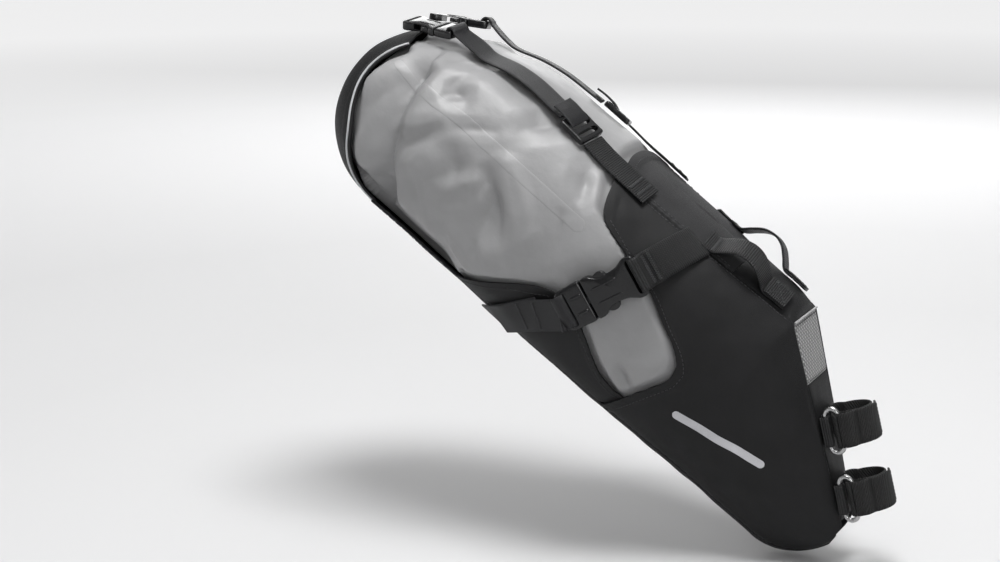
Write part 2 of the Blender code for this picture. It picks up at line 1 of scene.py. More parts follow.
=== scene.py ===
"""Looks of the saddle bag: a black cloth harness, its straps and buckles, and its grey roll-top dry bag.

The bag has a frame of its own, in millimetres: a runs back and up along the underside, y is the world's,
and n is square to the underside. bag() turns it into world metres. The skin is a loft of superelliptic
sections, and a place on it is a station a and an angle round the section: 0 at the belly, 90 degrees at the
side, 180 at the top.
"""

import math

import bmesh
import bpy
from mathutils import Matrix, Vector, noise
from mathutils.bvhtree import BVHTree


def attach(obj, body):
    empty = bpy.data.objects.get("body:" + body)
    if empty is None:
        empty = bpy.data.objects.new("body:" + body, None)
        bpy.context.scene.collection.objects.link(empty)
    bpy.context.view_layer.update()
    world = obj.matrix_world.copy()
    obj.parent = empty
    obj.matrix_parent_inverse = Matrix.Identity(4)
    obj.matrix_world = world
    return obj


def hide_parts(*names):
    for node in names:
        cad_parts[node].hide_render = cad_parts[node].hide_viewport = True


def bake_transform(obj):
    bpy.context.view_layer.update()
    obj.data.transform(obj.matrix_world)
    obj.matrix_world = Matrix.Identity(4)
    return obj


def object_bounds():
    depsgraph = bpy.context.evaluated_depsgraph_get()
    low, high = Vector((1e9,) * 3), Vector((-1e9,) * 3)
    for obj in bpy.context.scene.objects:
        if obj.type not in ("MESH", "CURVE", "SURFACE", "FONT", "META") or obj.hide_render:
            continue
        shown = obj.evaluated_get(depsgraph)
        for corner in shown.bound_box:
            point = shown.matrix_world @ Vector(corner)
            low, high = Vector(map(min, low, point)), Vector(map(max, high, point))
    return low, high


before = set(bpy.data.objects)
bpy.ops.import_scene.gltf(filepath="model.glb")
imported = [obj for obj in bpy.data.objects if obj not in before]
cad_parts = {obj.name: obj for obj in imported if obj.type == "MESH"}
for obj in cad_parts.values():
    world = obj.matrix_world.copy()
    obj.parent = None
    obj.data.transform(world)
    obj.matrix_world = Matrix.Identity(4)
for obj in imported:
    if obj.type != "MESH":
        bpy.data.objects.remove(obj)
CAD_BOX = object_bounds()

MM = 0.001
RIGHT, LEFT = -1, 1
SIDES = (("right", RIGHT), ("left", LEFT))

POST_LEAN = math.radians(14)
POST_R = 13.6
FRONT = 18.0
BAG_RISE = math.radians(37.5)
SQUARENESS = 2.3
TAIL_FROM, TAIL_LENGTH = 385.0, 84.0
FULL_WIDTH_AT, FULL_WIDTH = 250.0, 82.0
NOSE_AT, NOSE_WIDTH = -30.0, 15.0
SEAM_N = 53.0
TONGUE_ANGLE = math.asin(0.6 ** (SQUARENESS / 2))
CLOTH = 1.4

POST_UP = Vector((-math.sin(POST_LEAN), 0, math.cos(POST_LEAN)))
POST_BACK = Vector((-math.cos(POST_LEAN), 0, -math.sin(POST_LEAN)))
BACK = Vector((-math.cos(BAG_RISE), 0, math.sin(BAG_RISE)))
OUT = Vector((math.sin(BAG_RISE), 0, math.cos(BAG_RISE)))
ACROSS = Vector((0, 1, 0))


# The skin, as in the CAD


def bag(a, y, n):
    return (BACK * a + ACROSS * y + OUT * n) * MM


def front_n(a):
    up_a, up_n = POST_UP.dot(BACK), POST_UP.dot(OUT)
    back_a, back_n = POST_BACK.dot(BACK) * FRONT, POST_BACK.dot(OUT) * FRONT
    return back_n + up_n * (a - back_a) / up_a


def front_a(n):
    return (n - front_n(0)) / (front_n(1) - front_n(0))


def on_front(t, y, lift=0.0):
    return (POST_UP * t + POST_BACK * (FRONT - lift) + ACROSS * y) * MM


def tail_share(a):
    return min((a - TAIL_FROM) / TAIL_LENGTH, 0.995)


def half_width(a):
    if a > TAIL_FROM:
        return FULL_WIDTH * (1 - tail_share(a) ** 2.6) ** (1 / 2.6)
    share = max(FULL_WIDTH_AT - a, 0) / (FULL_WIDTH_AT - NOSE_AT)
    return FULL_WIDTH - (FULL_WIDTH - NOSE_WIDTH) * share**1.55


def low_and_high(a):
    if a > TAIL_FROM:
        t = tail_share(a)
        middle, size = -20 - 8 * t, math.sqrt(1 - t * t)
        return middle - 80 * size, middle + 68 * size
    low = -100.0
    if a < 20:
        t = min((20 - a) / 50, 1)
        low = -42 - 58 * math.sqrt(1 - t * t)
    slope = max(a - 330, 0) / 55
    return low, min(front_n(a) + 8, 60 - 12 * slope**2)


def power(x, exponent):
    return math.copysign(abs(x) ** exponent, x)


def section_point(a, angle):
    low, high = low_and_high(a)
    y = half_width(a) * power(math.sin(angle), 2 / SQUARENESS)
    return y, (low + high) / 2 - (high - low) / 2 * power(math.cos(angle), 2 / SQUARENESS)


def angle_at_n(a, n):
    low, high = low_and_high(a)
    share = max(-1.0, min(1.0, (2 * n - low - high) / (high - low)))
    return math.acos(-power(share, SQUARENESS / 2))


def angle_at_y(a, y):
    return math.pi - math.asin(min(1.0, abs(y) / half_width(a)) ** (SQUARENESS / 2))


def skin(a, angle, lift):
    """(point, outward normal) in the bag's frame, on its +y side, or on the other beyond 180 degrees."""
    y, n = section_point(a, angle)
    ahead, behind = section_point(a + 0.5, angle), section_point(a - 0.5, angle)
    up, down = section_point(a, angle + 0.02), section_point(a, angle - 0.02)
    along = Vector((1, ahead[0] - behind[0], ahead[1] - behind[1]))
    normal = along.cross(Vector((0, up[0] - down[0], up[1] - down[1]))).normalized()
    if normal.dot(Vector((0, y, n - sum(low_and_high(a)) / 2))) < 0:
        normal = -normal
    return Vector((a, y, n)) + normal * lift, normal


def on_skin(a, angle, side, lift=0.0):
    point, normal = skin(a, angle, lift)
    return bag(point.x, point.y * side, point.z), bag(normal.x, normal.y * side, normal.z) / MM


# Small tools


def lerp(start, end, share):
    return start + (end - start) * share


def evenly(start, end, count):
    return [lerp(start, end, i / (count - 1)) for i in range(count)]


def smooth(low, high, x):
    t = max(0.0, min(1.0, (x - low) / (high - low)))
    return t * t * (3 - 2 * t)


def bump(x, middle, reach):
    """1 at the middle, falling smoothly to 0 at this reach."""
    t = min(abs(x - middle) / reach, 1.0)
    return (1 - t * t) ** 2


def rough(*place):
    return noise.noise(Vector(place))


def resample(points, count):
    points = [Vector(p) for p in points]
    lengths = [0.0]
    for p, q in zip(points, points[1:]):
        lengths.append(lengths[-1] + (q - p).length)
    found, i = [], 0
    for want in evenly(0.0, lengths[-1], count):
        while i < len(points) - 2 and lengths[i + 1] < want:
            i += 1
        span = max(lengths[i + 1] - lengths[i], 1e-9)
        found.append(lerp(points[i], points[i + 1], min((want - lengths[i]) / span, 1.0)))
    return found


def curved(points, count):
    """A smooth curve through the points: Catmull-Rom, evenly spaced."""
    points = [Vector(p) for p in points]
    fine = []
    for i in range(len(points) - 1):
        p0, p1 = points[max(i - 1, 0)], points[i]
        p2, p3 = points[i + 1], points[min(i + 2, len(points) - 1)]
        for t in evenly(0.0, 1.0, 13)[:-1]:
            square, cube = 2 * p0 - 5 * p1 + 4 * p2 - p3, 3 * p1 - p0 - 3 * p2 + p3
            fine.append(0.5 * (2 * p1 + (p2 - p0) * t + square * t * t + cube * t**3))
    return resample([*fine, points[-1]], count)


def coons(bottom, top, front, rear):
    """Rows of points between four edges. bottom and top have the same count, and so have front and rear."""
    rows = []
    for j in range(len(front)):
        v = j / (len(front) - 1)
        row = []
        for i in range(len(bottom)):
            u = i / (len(bottom) - 1)
            ruled = lerp(bottom[i], top[i], v) + lerp(front[j], rear[j], u)
            row.append(ruled - lerp(lerp(bottom[0], bottom[-1], u), lerp(top[0], top[-1], u), v))
        rows.append(row)
    return rows


def place_piece(obj, body, slot, *nodes):
    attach(obj, body)
    if nodes:
        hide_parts(*nodes)
    return obj


def new_object(name, mesh, surface):
    obj = bpy.data.objects.new(name, mesh)
    bpy.context.scene.collection.objects.link(obj)
    mesh.materials.append(surface)
    mesh.shade_smooth()
    return obj


def apply_modifiers(obj):
    graph = bpy.context.evaluated_depsgraph_get()
    mesh = bpy.data.meshes.new_from_object(obj.evaluated_get(graph))
    obj.modifiers.clear()
    obj.data = mesh
    return obj


def mesh_of_rows(name, rows, uvs=None, closed=False):
    """A sheet of quads. Its UVs are metres along and across, unless they are given."""
    made = bmesh.new()
    layer = made.loops.layers.uv.new("metres")
    verts = [[made.verts.new(p) for p in row] for row in rows]
    if uvs is None:
        uvs = measured_uvs(rows)
    for j in range(len(rows) - 1):
        count = len(rows[j])
        for i in range(count if closed else count - 1):
            k = (i + 1) % count
            face = made.faces.new((verts[j][i], verts[j][k], verts[j + 1][k], verts[j + 1][i]))
            corners = (uvs[j][i], uvs[j][i + 1], uvs[j + 1][i + 1], uvs[j + 1][i])
            for loop, uv in zip(face.loops, corners):
                loop[layer].uv = uv
    return finished(name, made)


def finished(name, made):
    """Turns a bmesh into a mesh of this name."""
    mesh = bpy.data.meshes.new(name)
    made.to_mesh(mesh)
    made.free()
    return mesh


def measured_uvs(rows):
    """Distances along the middle row and column, in metres, with one more column for a closed ring."""
    middle = rows[len(rows) // 2]
    across = [0.0]
    for i in range(len(middle)):
        across.append(across[-1] + (middle[(i + 1) % len(middle)] - middle[i]).length)
    uvs, along, column = [], 0.0, len(middle) // 2
    for j, row in enumerate(rows):
        if j:
            along += (row[column] - rows[j - 1][column]).length
        uvs.append([(x, along) for x in across])
    return uvs


def cloth_sheet(name, rows, outward, surface, thickness=CLOTH, edge=0.35):
    """A sheet thickened inwards, with softly rounded edges."""
    mesh = mesh_of_rows(name, rows)
    middle = mesh.polygons[len(mesh.polygons) // 2]
    if middle.normal.dot(outward) < 0:
        mesh.flip_normals()
    obj = new_object(name, mesh, surface)
    solid = obj.modifiers.new("thickness", "SOLIDIFY")
    solid.thickness = thickness * MM
    solid.offset = -1
    solid.use_even_offset = False
    soft = obj.modifiers.new("edges", "BEVEL")
    soft.width = edge * MM
    soft.segments = 2
    soft.limit_method = "ANGLE"
    soft.angle_limit = math.radians(50)
    return apply_modifiers(obj)


# Materials


class Paint:
    """One procedural material, built up step by step from its Principled shader."""

    def __init__(self, name, colour, roughness, **fixed):
        self.material = bpy.data.materials.new(name)
        self.material.use_nodes = True
        self.tree = self.material.node_tree
        self.shader = self.tree.nodes["Principled BSDF"]
        self.shader.inputs["Base Color"].default_value = (*colour, 1)
        self.shader.inputs["Roughness"].default_value = roughness
        for socket, value in fixed.items():
            self.shader.inputs[socket.replace("_", " ").title().replace("Ior", "IOR")].default_value = value
        self.colour = colour
        self.normal = None
        self.place = self.node("ShaderNodeTexCoord", {}, output="Object")
        metres = self.node("ShaderNodeUVMap", {}, uv_map="metres")
        split = self.tree.nodes.new("ShaderNodeSeparateXYZ")
        self.tree.links.new(metres, split.inputs[0])
        self.across, self.along = split.outputs[0], split.outputs[1]

    def node(self, kind, inputs, output=0, **settings):
        made = self.tree.nodes.new(kind)
        for key, value in settings.items():
            setattr(made, key, value)
        for socket, value in inputs.items():
            if isinstance(value, bpy.types.NodeSocket):
                self.tree.links.new(value, made.inputs[socket])
            else:
                made.inputs[socket].default_value = value
        return made.outputs[output]

    def maths(self, operation, first, second=0.0):
        return self.node("ShaderNodeMath", {0: first, 1: second}, operation=operation)

    def wave(self, where, pitch):
        """0 to 1 and back over each pitch, which is in millimetres."""
        swing = self.maths("SINE", self.maths("MULTIPLY", where, 2 * math.pi / (pitch * MM)))
        return self.node("ShaderNodeMath", {0: swing, 1: 0.5, 2: 0.5}, operation="MULTIPLY_ADD")

    def clouds(self, size, detail, stretch=(1, 1, 1)):
        """Soft noise whose features are about this many millimetres."""
        where = self.node("ShaderNodeMapping", {"Vector": self.place, "Scale": stretch})
        inputs = {"Vector": where, "Scale": 1 / (size * MM), "Detail": detail, "Roughness": 0.55}
        return self.node("ShaderNodeTexNoise", inputs)

    def spread(self, value, low, high):
        ends = {"From Min": 0.25, "From Max": 0.75, "To Min": low, "To Max": high}
        return self.node("ShaderNodeMapRange", {"Value": value, **ends})

    def tint(self, factor, low, high):
        """Colours the surface from low to high times its own colour, as the factor goes from 0 to 1."""
        dark = (*(c * low for c in self.colour), 1)
        light = (*(min(c * high, 1.0) for c in self.colour), 1)
        return self.node("ShaderNodeMix", {0: factor, 6: dark, 7: light}, output=2, data_type="RGBA")

    def raise_by(self, height, depth):
        """Adds a bump of this many millimetres."""
        inputs = {"Height": height, "Distance": depth * MM, "Strength": 1.0}
        if self.normal:
            inputs["Normal"] = self.normal
        self.normal = self.node("ShaderNodeBump", inputs)

    def done(self, colour, roughness=None):
        for socket, value in (("Base Color", colour), ("Roughness", roughness), ("Normal", self.normal)):
            if value:
                self.tree.links.new(value, self.shader.inputs[socket])
        return self.material


def woven(name, colour, roughness, pitch, depth, creases=0.35, **fixed):
    """Plain-woven cloth with faint creases and uneven dye, and a painted highlight on the weave's raised
    crossings.
    """
    paint = Paint(name, colour, roughness, **fixed)
    warp, weft = paint.wave(paint.across, pitch), paint.wave(paint.along, pitch)
    over = paint.maths("MULTIPLY", warp, weft)
    fuzz = paint.clouds(1.1, 3.0)
    broad = paint.clouds(38.0, 3.0)
    paint.raise_by(paint.clouds(24.0, 3.0), creases)
    paint.raise_by(fuzz, depth * 0.5)
    paint.raise_by(over, depth)
    # The broad clouds are uneven dye; the weave's raised crossings (over) are coloured lighter as a painted
    # highlight.
    shade = paint.maths("ADD", paint.spread(broad, 0.0, 0.6), paint.maths("MULTIPLY", over, 0.5))
    return paint.done(paint.tint(shade, 0.72, 1.45), paint.spread(fuzz, roughness - 0.07, roughness + 0.08))


def ribbed(name, colour, roughness, pitch, depth, slant=0.0, **fixed):
    """Webbing, whose ribs cross it at this pitch and whose fine yarns run along it."""
    paint = Paint(name, colour, roughness, **fixed)
    line = paint.node("ShaderNodeMath", {0: paint.across, 1: slant, 2: paint.along}, operation="MULTIPLY_ADD")
    ribs, yarns = paint.wave(line, pitch), paint.wave(paint.across, 0.9)
    fuzz = paint.clouds(0.9, 3.0)
    paint.raise_by(fuzz, depth * 0.4)
    paint.raise_by(yarns, depth * 0.25)
    paint.raise_by(ribs, depth)
    lit_ribs = paint.maths("ADD", paint.maths("MULTIPLY", ribs, 0.7), 0.3)
    shade = paint.maths("MULTIPLY", paint.spread(fuzz, 0.5, 1.1), lit_ribs)
    return paint.done(paint.tint(shade, 0.5, 1.7), paint.spread(fuzz, roughness - 0.06, roughness + 0.06))


def coated_cloth(name, colour, roughness):
    """The dry bag's smooth coated nylon, a little handled and dusty."""
    paint = Paint(name, colour, roughness)
    soft, fine = paint.clouds(26.0, 4.0), paint.clouds(0.7, 2.0)
    rub = paint.clouds(7.0, 5.0, (1, 1, 0.4))
    paint.raise_by(soft, 0.9)
    paint.raise_by(rub, 0.12)
    paint.raise_by(fine, 0.03)
    shade = paint.maths("ADD", paint.spread(soft, 0.0, 0.6), paint.spread(rub, 0.0, 0.4))
    return paint.done(paint.tint(shade, 0.94, 1.06), paint.spread(rub, roughness - 0.06, roughness + 0.08))


def moulded(name, colour, roughness):
    """Glossy moulded plastic with fine scuffs."""
    paint = Paint(name, colour, roughness, specular_ior_level=0.42)
    scuffs = paint.clouds(3.0, 6.0, (1, 6, 1))
    grain = paint.clouds(0.35, 1.0)
    paint.raise_by(grain, 0.012)
    paint.raise_by(paint.clouds(9.0, 1.0), 0.05)
    colour = paint.tint(paint.spread(scuffs, 0.0, 1.0), 0.85, 1.5)
    return paint.done(colour, paint.spread(scuffs, roughness - 0.04, roughness + 0.12))


def brushed(name, colour, roughness):
    paint = Paint(name, colour, roughness, metallic=1.0)
    lines = paint.clouds(0.8, 4.0, (1, 1, 8))
    paint.raise_by(lines, 0.02)
    colour = paint.tint(paint.spread(lines, 0.0, 1.0), 0.85, 1.1)
    return paint.done(colour, paint.spread(lines, roughness - 0.06, roughness + 0.12))


def diamonds(name, colour, roughness, pitch):
    """The seatpost patch: silver cloth with a raised diamond pattern."""
    paint = Paint(name, colour, roughness, metallic=0.35)
    total = paint.maths("ADD", paint.across, paint.along)
    gap = paint.maths("SUBTRACT", paint.across, paint.along)
    cells = paint.maths("MULTIPLY", paint.wave(total, pitch), paint.wave(gap, pitch))
    fuzz = paint.clouds(1.0, 3.0)
    paint.raise_by(fuzz, 0.06)
    paint.raise_by(cells, 0.6)
    shade = paint.maths("ADD", paint.maths("MULTIPLY", cells, 0.9), paint.spread(fuzz, 0.0, 0.2))
    return paint.done(paint.tint(shade, 0.3, 1.7), paint.spread(fuzz, roughness - 0.05, roughness + 0.1))


HARNESS = woven("harness cloth", (0.0095, 0.0095, 0.01), 0.55, 0.55, 0.05, specular_ior_level=0.2)
YOKE = woven("yoke cloth", (0.02, 0.02, 0.021), 0.72, 0.9, 0.12, specular_ior_level=0.25)
BINDING = woven("pale binding", (0.3, 0.3, 0.305), 0.55, 0.8, 0.08)
PIPING = woven("reflective piping", (0.42, 0.43, 0.44), 0.4, 0.7, 0.06, metallic=0.2)
REFLECTIVE = woven("reflective print", (0.5, 0.5, 0.52), 0.35, 0.5, 0.03, creases=0.1, metallic=0.3)
WEBBING = ribbed("webbing", (0.009, 0.009, 0.0095), 0.5, 1.6, 0.45, specular_ior_level=0.3)
TWILL = ribbed("twill webbing", (0.012, 0.012, 0.013), 0.5, 1.0, 0.14, 0.7, specular_ior_level=0.25)
COARSE = ribbed("hook and loop webbing", (0.008, 0.008, 0.008), 0.65, 1.9, 0.5, 0.5, specular_ior_level=0.3)
THREAD = ribbed("thread", (0.03, 0.03, 0.032), 0.55, 0.5, 0.1, 1.0)
PLASTIC = moulded("buckle plastic", (0.004, 0.004, 0.0045), 0.17)
METAL = brushed("ring metal", (0.4, 0.4, 0.4), 0.22)
PATCH = diamonds("seatpost patch", (0.33, 0.33, 0.33), 0.4, 4.2)
DRY = coated_cloth("coated dry bag cloth", (0.235, 0.235, 0.238), 0.46)
TAPE = coated_cloth("seam tape", (0.243, 0.243, 0.246), 0.44)


# Floor, lights and camera


FLOOR_R = 14.0
FLOOR_GAP = 0.004
WORLD_LIGHT, WORLD_SEEN = 0.26, 0.9
MIDDLE = (-0.2, 0.0, 0.1)
SOFTBOXES = (  # name, place, target, width, height, watts
    ("ceiling", (0.0, 0.0, 5.0), (0.0, 0.0, 0.0), 10.0, 10.0, 110),
    ("key", (0.1, -0.3, 2.1), MIDDLE, 0.9, 0.7, 46),
    ("side", (1.3, -1.9, 0.9), MIDDLE, 1.0, 0.8, 13),
    ("fill", (-2.1, -1.2, 0.5), MIDDLE, 1.0, 1.0, 5),
    ("rim", (-0.7, 1.9, 1.0), MIDDLE, 1.2, 1.0, 16),
)
CAMERA_AIM, CAMERA_DISTANCE = Vector((-0.2804, 0.0, 0.1015)), 1.67
CAMERA_TURN, CAMERA_RISE = math.radians(24), math.radians(13)


def point_at(obj, place, target):
    heading = Vector(target) - Vector(place)
    obj.matrix_world = Matrix.Translation(place) @ heading.to_track_quat("-Z", "Y").to_matrix().to_4x4()
    bpy.context.scene.collection.objects.link(obj)


def softbox(name, place, target, width, height, watts):
    light = bpy.data.lights.new(name, "AREA")
    light.shape = "RECTANGLE"
    light.size, light.size_y, light.energy = width, height, watts
    point_at(bpy.data.objects.new(name, light), place, target)


def floor():
    """A plain pale floor, a little lighter far from the bag, where the lights don't reach."""
    made = bmesh.new()
    bmesh.ops.create_circle(made, cap_ends=True, segments=96, radius=FLOOR_R)
    bmesh.ops.translate(made, vec=(0, 0, CAD_BOX[0][2] - FLOOR_GAP), verts=made.verts)
    paint = Paint("studio floor", (0.56, 0.56, 0.565), 0.8)
    reach = paint.node("ShaderNodeVectorMath", {0: paint.place}, output="Value", operation="LENGTH")
    distance = paint.node("ShaderNodeMapRange", {"Value": reach, "From Min": 0.8, "From Max": 5.0})
    ramp = {"Value": reach, "From Min": 1.2, "From Max": 3.4, "To Max": 0.45}
    glow = paint.node("ShaderNodeMapRange", ramp)
    paint.shader.inputs["Emission Color"].default_value = (1, 1, 1, 1)
    paint.tree.links.new(glow, paint.shader.inputs["Emission Strength"])
    new_object("floor", finished("floor", made), paint.done(paint.tint(distance, 1.0, 1.76)))


def surroundings():
    """Even light from all round, which the camera sees as a brighter backdrop."""
    world = bpy.data.worlds.new("studio")
    world.use_nodes = True
    tree = world.node_tree
    sky = tree.nodes["Background"]
    sky.inputs["Color"].default_value = (1, 1, 1, 1)
    rays = tree.nodes.new("ShaderNodeLightPath")
    strength = tree.nodes.new("ShaderNodeMapRange")
    strength.inputs["To Min"].default_value = WORLD_LIGHT
    strength.inputs["To Max"].default_value = WORLD_SEEN
    tree.links.new(rays.outputs["Is Camera Ray"], strength.inputs["Value"])
    tree.links.new(strength.outputs[0], sky.inputs["Strength"])
    bpy.context.scene.world = world
    bpy.context.scene.view_settings.view_transform = "Standard"


def camera():
    level = math.cos(CAMERA_RISE)
    away = Vector((math.sin(CAMERA_TURN) * level, -math.cos(CAMERA_TURN) * level, math.sin(CAMERA_RISE)))
    lens = bpy.data.cameras.new("camera")
    lens.lens, lens.sensor_width, lens.clip_start = 80, 36, 0.05
    obj = bpy.data.objects.new("camera", lens)
    point_at(obj, CAMERA_AIM + away * CAMERA_DISTANCE, CAMERA_AIM)
    bpy.context.scene.camera = obj


floor()
surroundings()
for box in SOFTBOXES:
    softbox(*box)
camera()


# The dry bag

DRY_INSET = 4.0
ARC = 80.0  # millimetres that a radian round the section takes up, near enough
CUP_REAR = ((161, -88), (156, -78), (150, -65), (143, -50), (136, -36), (132, -24))
WINDOW_TOP = ((136, -14), (146, -5), (161, 3), (183, 15), (212, 24), (242, 33), (257, 49))
WING_TOP = ((155, -67), (169, -61), (179, -55), (196, -42), (212, -33), (235, -31), (262, -50), (300, -80))

# Folds in the cloth: (a, degrees) at both ends, how far each reaches, and its height. Negative is a crease.
FOLDS = (
    (393, 97, 377, 111, 15, 3.5), (389, 92, 372, 105, 10, -3.0), (379, 82, 364, 90, 13, 2.0),
    (364, 90, 333, 64, 15, 3.0), (370, 82, 350, 70, 14, -3.0), (350, 100, 335, 90, 15, -5.0),
    (338, 88, 328, 96, 10, 4.5), (352, 84, 318, 68, 15, -3.0), (316, 112, 274, 94, 14, 4.0),
    (320, 104, 290, 88, 13, -5.0), (329, 73, 281, 60, 13, 4.0), (306, 92, 297, 72, 14, -4.0),
    (300, 78, 268, 68, 15, 3.0), (384, 133, 372, 129, 17, -5.0), (325, 136, 312, 152, 18, -3.5),
    (272, 141, 262, 128, 16, -3.0), (262, 112, 244, 92, 15, -3.5), (362, 112, 340, 122, 11, -2.5),
    (424, 118, 430, 84, 16, -2.5), (446, 112, 436, 90, 14, 2.0), (151, 66, 164, 74, 8, -5.0),
    (166, 80, 150, 86, 12, 2.5), (330, 150, 372, 158, 20, -3.0), (400, 150, 386, 168, 16, -3.0),
)  # fmt: skip
LOBE_REACH, FRONT_REACH = 34, 13  # how far the lobe's crease slopes, on the lobe and in front of it
LOBE_CREASE = ((413, 134), (411, 121), (403, 100), (394, 87), (384, 72), (376, 60), (372, 48))


def flat_place(a, angle):
    return Vector((a, angle * ARC))


def by_degrees(a, degrees):
    return flat_place(a, math.radians(degrees))


def off_line(point, start, end):
    """(distance from the segment, share along it)"""
    span = end - start
    share = max(0.0, min(1.0, (point - start).dot(span) / span.length_squared))
    return (point - start - span * share).length, share


def fold_height(place, fold, shift):
    a0, d0, a1, d1, reach, height = fold
    distance, share = off_line(place, by_degrees(a0 + shift, d0), by_degrees(a1 + shift, d1))
    if distance >= reach:
        return 0.0
    near = 1 - math.sqrt(distance**2 + 1.2) / math.sqrt(reach**2 + 1.2)
    return 1.5 * height * near**1.25 * (0.45 + 0.55 * bump(share, 0.5, 0.75))


def crease_depth(place):
    """The fold that parts the rear lobe from the rest: a long slope on the lobe, a short one in front."""
    depth = 0.0
    line = [by_degrees(a, degrees) for a, degrees in LOBE_CREASE]
    for start, end in zip(line, line[1:]):
        distance, share = off_line(place, start, end)
        reach = LOBE_REACH if place.x > lerp(start.x, end.x, share) else FRONT_REACH
        depth = max(depth, 1 - math.sqrt(distance**2 + 0.5) / reach)
    return depth**1.5


def line_at(points, want, by=1, of=0):
    """Reads a polyline: the value of one coordinate where the other has this value."""
    for p, q in zip(points, points[1:]):
        if p[by] <= want <= q[by]:
            return lerp(p[of], q[of], (want - p[by]) / (q[by] - p[by]))
    return points[0][of] if want < points[0][by] else points[-1][of]


FLAP_END = math.radians(47)
FLAP_EDGES = (49.0, 40.0)
FLAP_BULGE = 26.0
FACING = 4.5  # the flap's dark edge beyond its piping


def tail_point(turn, y, lift=0.0):
    shrink = (1 - min(abs(y / FULL_WIDTH), 0.999) ** SQUARENESS) ** (1 / SQUARENESS)
    height = (80 if turn < 0 else 68) * shrink + lift
    a = TAIL_FROM + (TAIL_LENGTH * shrink + lift) * math.cos(turn)
    return bag(a, y, -20 - 8 * math.cos(turn) + height * math.sin(turn))


def flap_edge(turn, beyond=0.0):
    """Half-width of the flap, and this many millimetres further round the tail."""
    share = (turn + math.pi / 2) / (FLAP_END + math.pi / 2)
    edge = lerp(*FLAP_EDGES, share) + FLAP_BULGE * math.sin(math.pi * share)
    arc_per_y = (tail_point(turn, edge + 1) - tail_point(turn, edge)).length / MM
    return edge + beyond / arc_per_y


def exposed(a, angle, y, n):
    """0 where the harness covers the dry bag, 1 where it shows."""
    behind = a - line_at(CUP_REAR + WINDOW_TOP, n) if n < 50 else a - (262 - 12 * (y / 80) ** 2)
    above = n - line_at(WING_TOP, a, 0, 1) if a < 300 else 20.0
    beyond = (angle - TONGUE_ANGLE) * ARC
    shows = smooth(0, 9, behind) * smooth(0, 9, above) * smooth(2, 12, beyond)
    if a > TAIL_FROM:
        height = 80 if n < -24 else 68
        turn = min(math.atan2((n + 24) / height, (a - TAIL_FROM) / TAIL_LENGTH), FLAP_END)
        shows *= smooth(2, 9, abs(y) - flap_edge(turn)) if turn < FLAP_END else 1.0
    return shows


def strap_press(a, y, n):
    """How much the webbing presses the dry bag in."""
    strap_y = 38 if a < 250 else 38 - (a - 250) * 0.096
    top = bump(abs(y) - strap_y, 0, 17) if n > 0 and a > 225 else 0.0
    start, end = Vector((183, 51)), Vector((263, -91))
    side = off_line(Vector((a, n)), start, end)[0]
    return max(top, bump(side, 0, 24) if n < 45 else 0.0)


def dry_lift(a, angle, side):
    y, n = section_point(a, angle)
    shows = exposed(a, angle, y, n)
    lift = -4.0 - 4 * smooth(396, 416, a)
    if not shows:
        return lift
    place = flat_place(a, angle)
    shift = 0 if side == RIGHT else -9
    folds = sum(fold_height(place, fold, shift) for fold in FOLDS)
    press = strap_press(a, y, n)
    lift += shows * (5.4 - 2.6 * press + folds)
    lift -= shows * 15 * crease_depth(place)
    lift -= 8 * smooth(285, 325, a) * bump(angle, math.radians(44), math.radians(20)) * (a < 420)
    lift -= shows * 6 * bump(a, 388, 22) * bump(angle, math.radians(60), math.radians(18))
    lift += shows * 0.8 * rough(a / 26, angle * ARC / 34, side * 3.1)
    return min(lift, 4.2 - 3.9 * min(press * 1.6, 1.0))


def dry_point(a, angle, side):
    front = front_n(a) - DRY_INSET - 1
    point, _ = skin(a, angle, dry_lift(a, angle, side))
    return bag(point.x, point.y * side, min(point.z, front))


DRY_STATIONS = (*evenly(28, 441, 190), 444, 446.5, 448, 448.8)
DRY_ROUND = 216
END_RINGS = (0.94, 0.84, 0.66, 0.42, 0.16)


def dry_rows():
    rows = []
    for a in DRY_STATIONS:
        row = []
        for i in range(DRY_ROUND):
            turn = 2 * math.pi * i / DRY_ROUND
            on_left = turn < math.pi
            row.append(dry_point(a, turn if on_left else 2 * math.pi - turn, LEFT if on_left else RIGHT))
        rows.append(row)
    return rows


def shut(rows):
    """Adds shrinking rings at both ends of a tube."""
    ends = []
    for ring in (rows[0], rows[-1]):
        hub = sum(ring, Vector()) / len(ring)
        ends.append([[lerp(hub, point, share) for point in ring] for share in END_RINGS])
    return ends[0][::-1] + rows + ends[1]


def solid_tube(name, rows, surface, uvs=None):
    """A closed tube through rings of points, capped at both ends."""
    mesh = mesh_of_rows(name, rows, uvs, closed=True)
    made = bmesh.new()
    made.from_mesh(mesh)
    made.verts.ensure_lookup_table()
    count = len(rows[0])
    for first in (0, (len(rows) - 1) * count):
        made.faces.new([made.verts[first + i] for i in range(count)])
    bmesh.ops.recalc_face_normals(made, faces=made.faces)
    made.to_mesh(mesh)
    made.free()
    return new_object(name, mesh, surface)


RELAX_FRAMES = 12
RELAX_MOST = 2.0


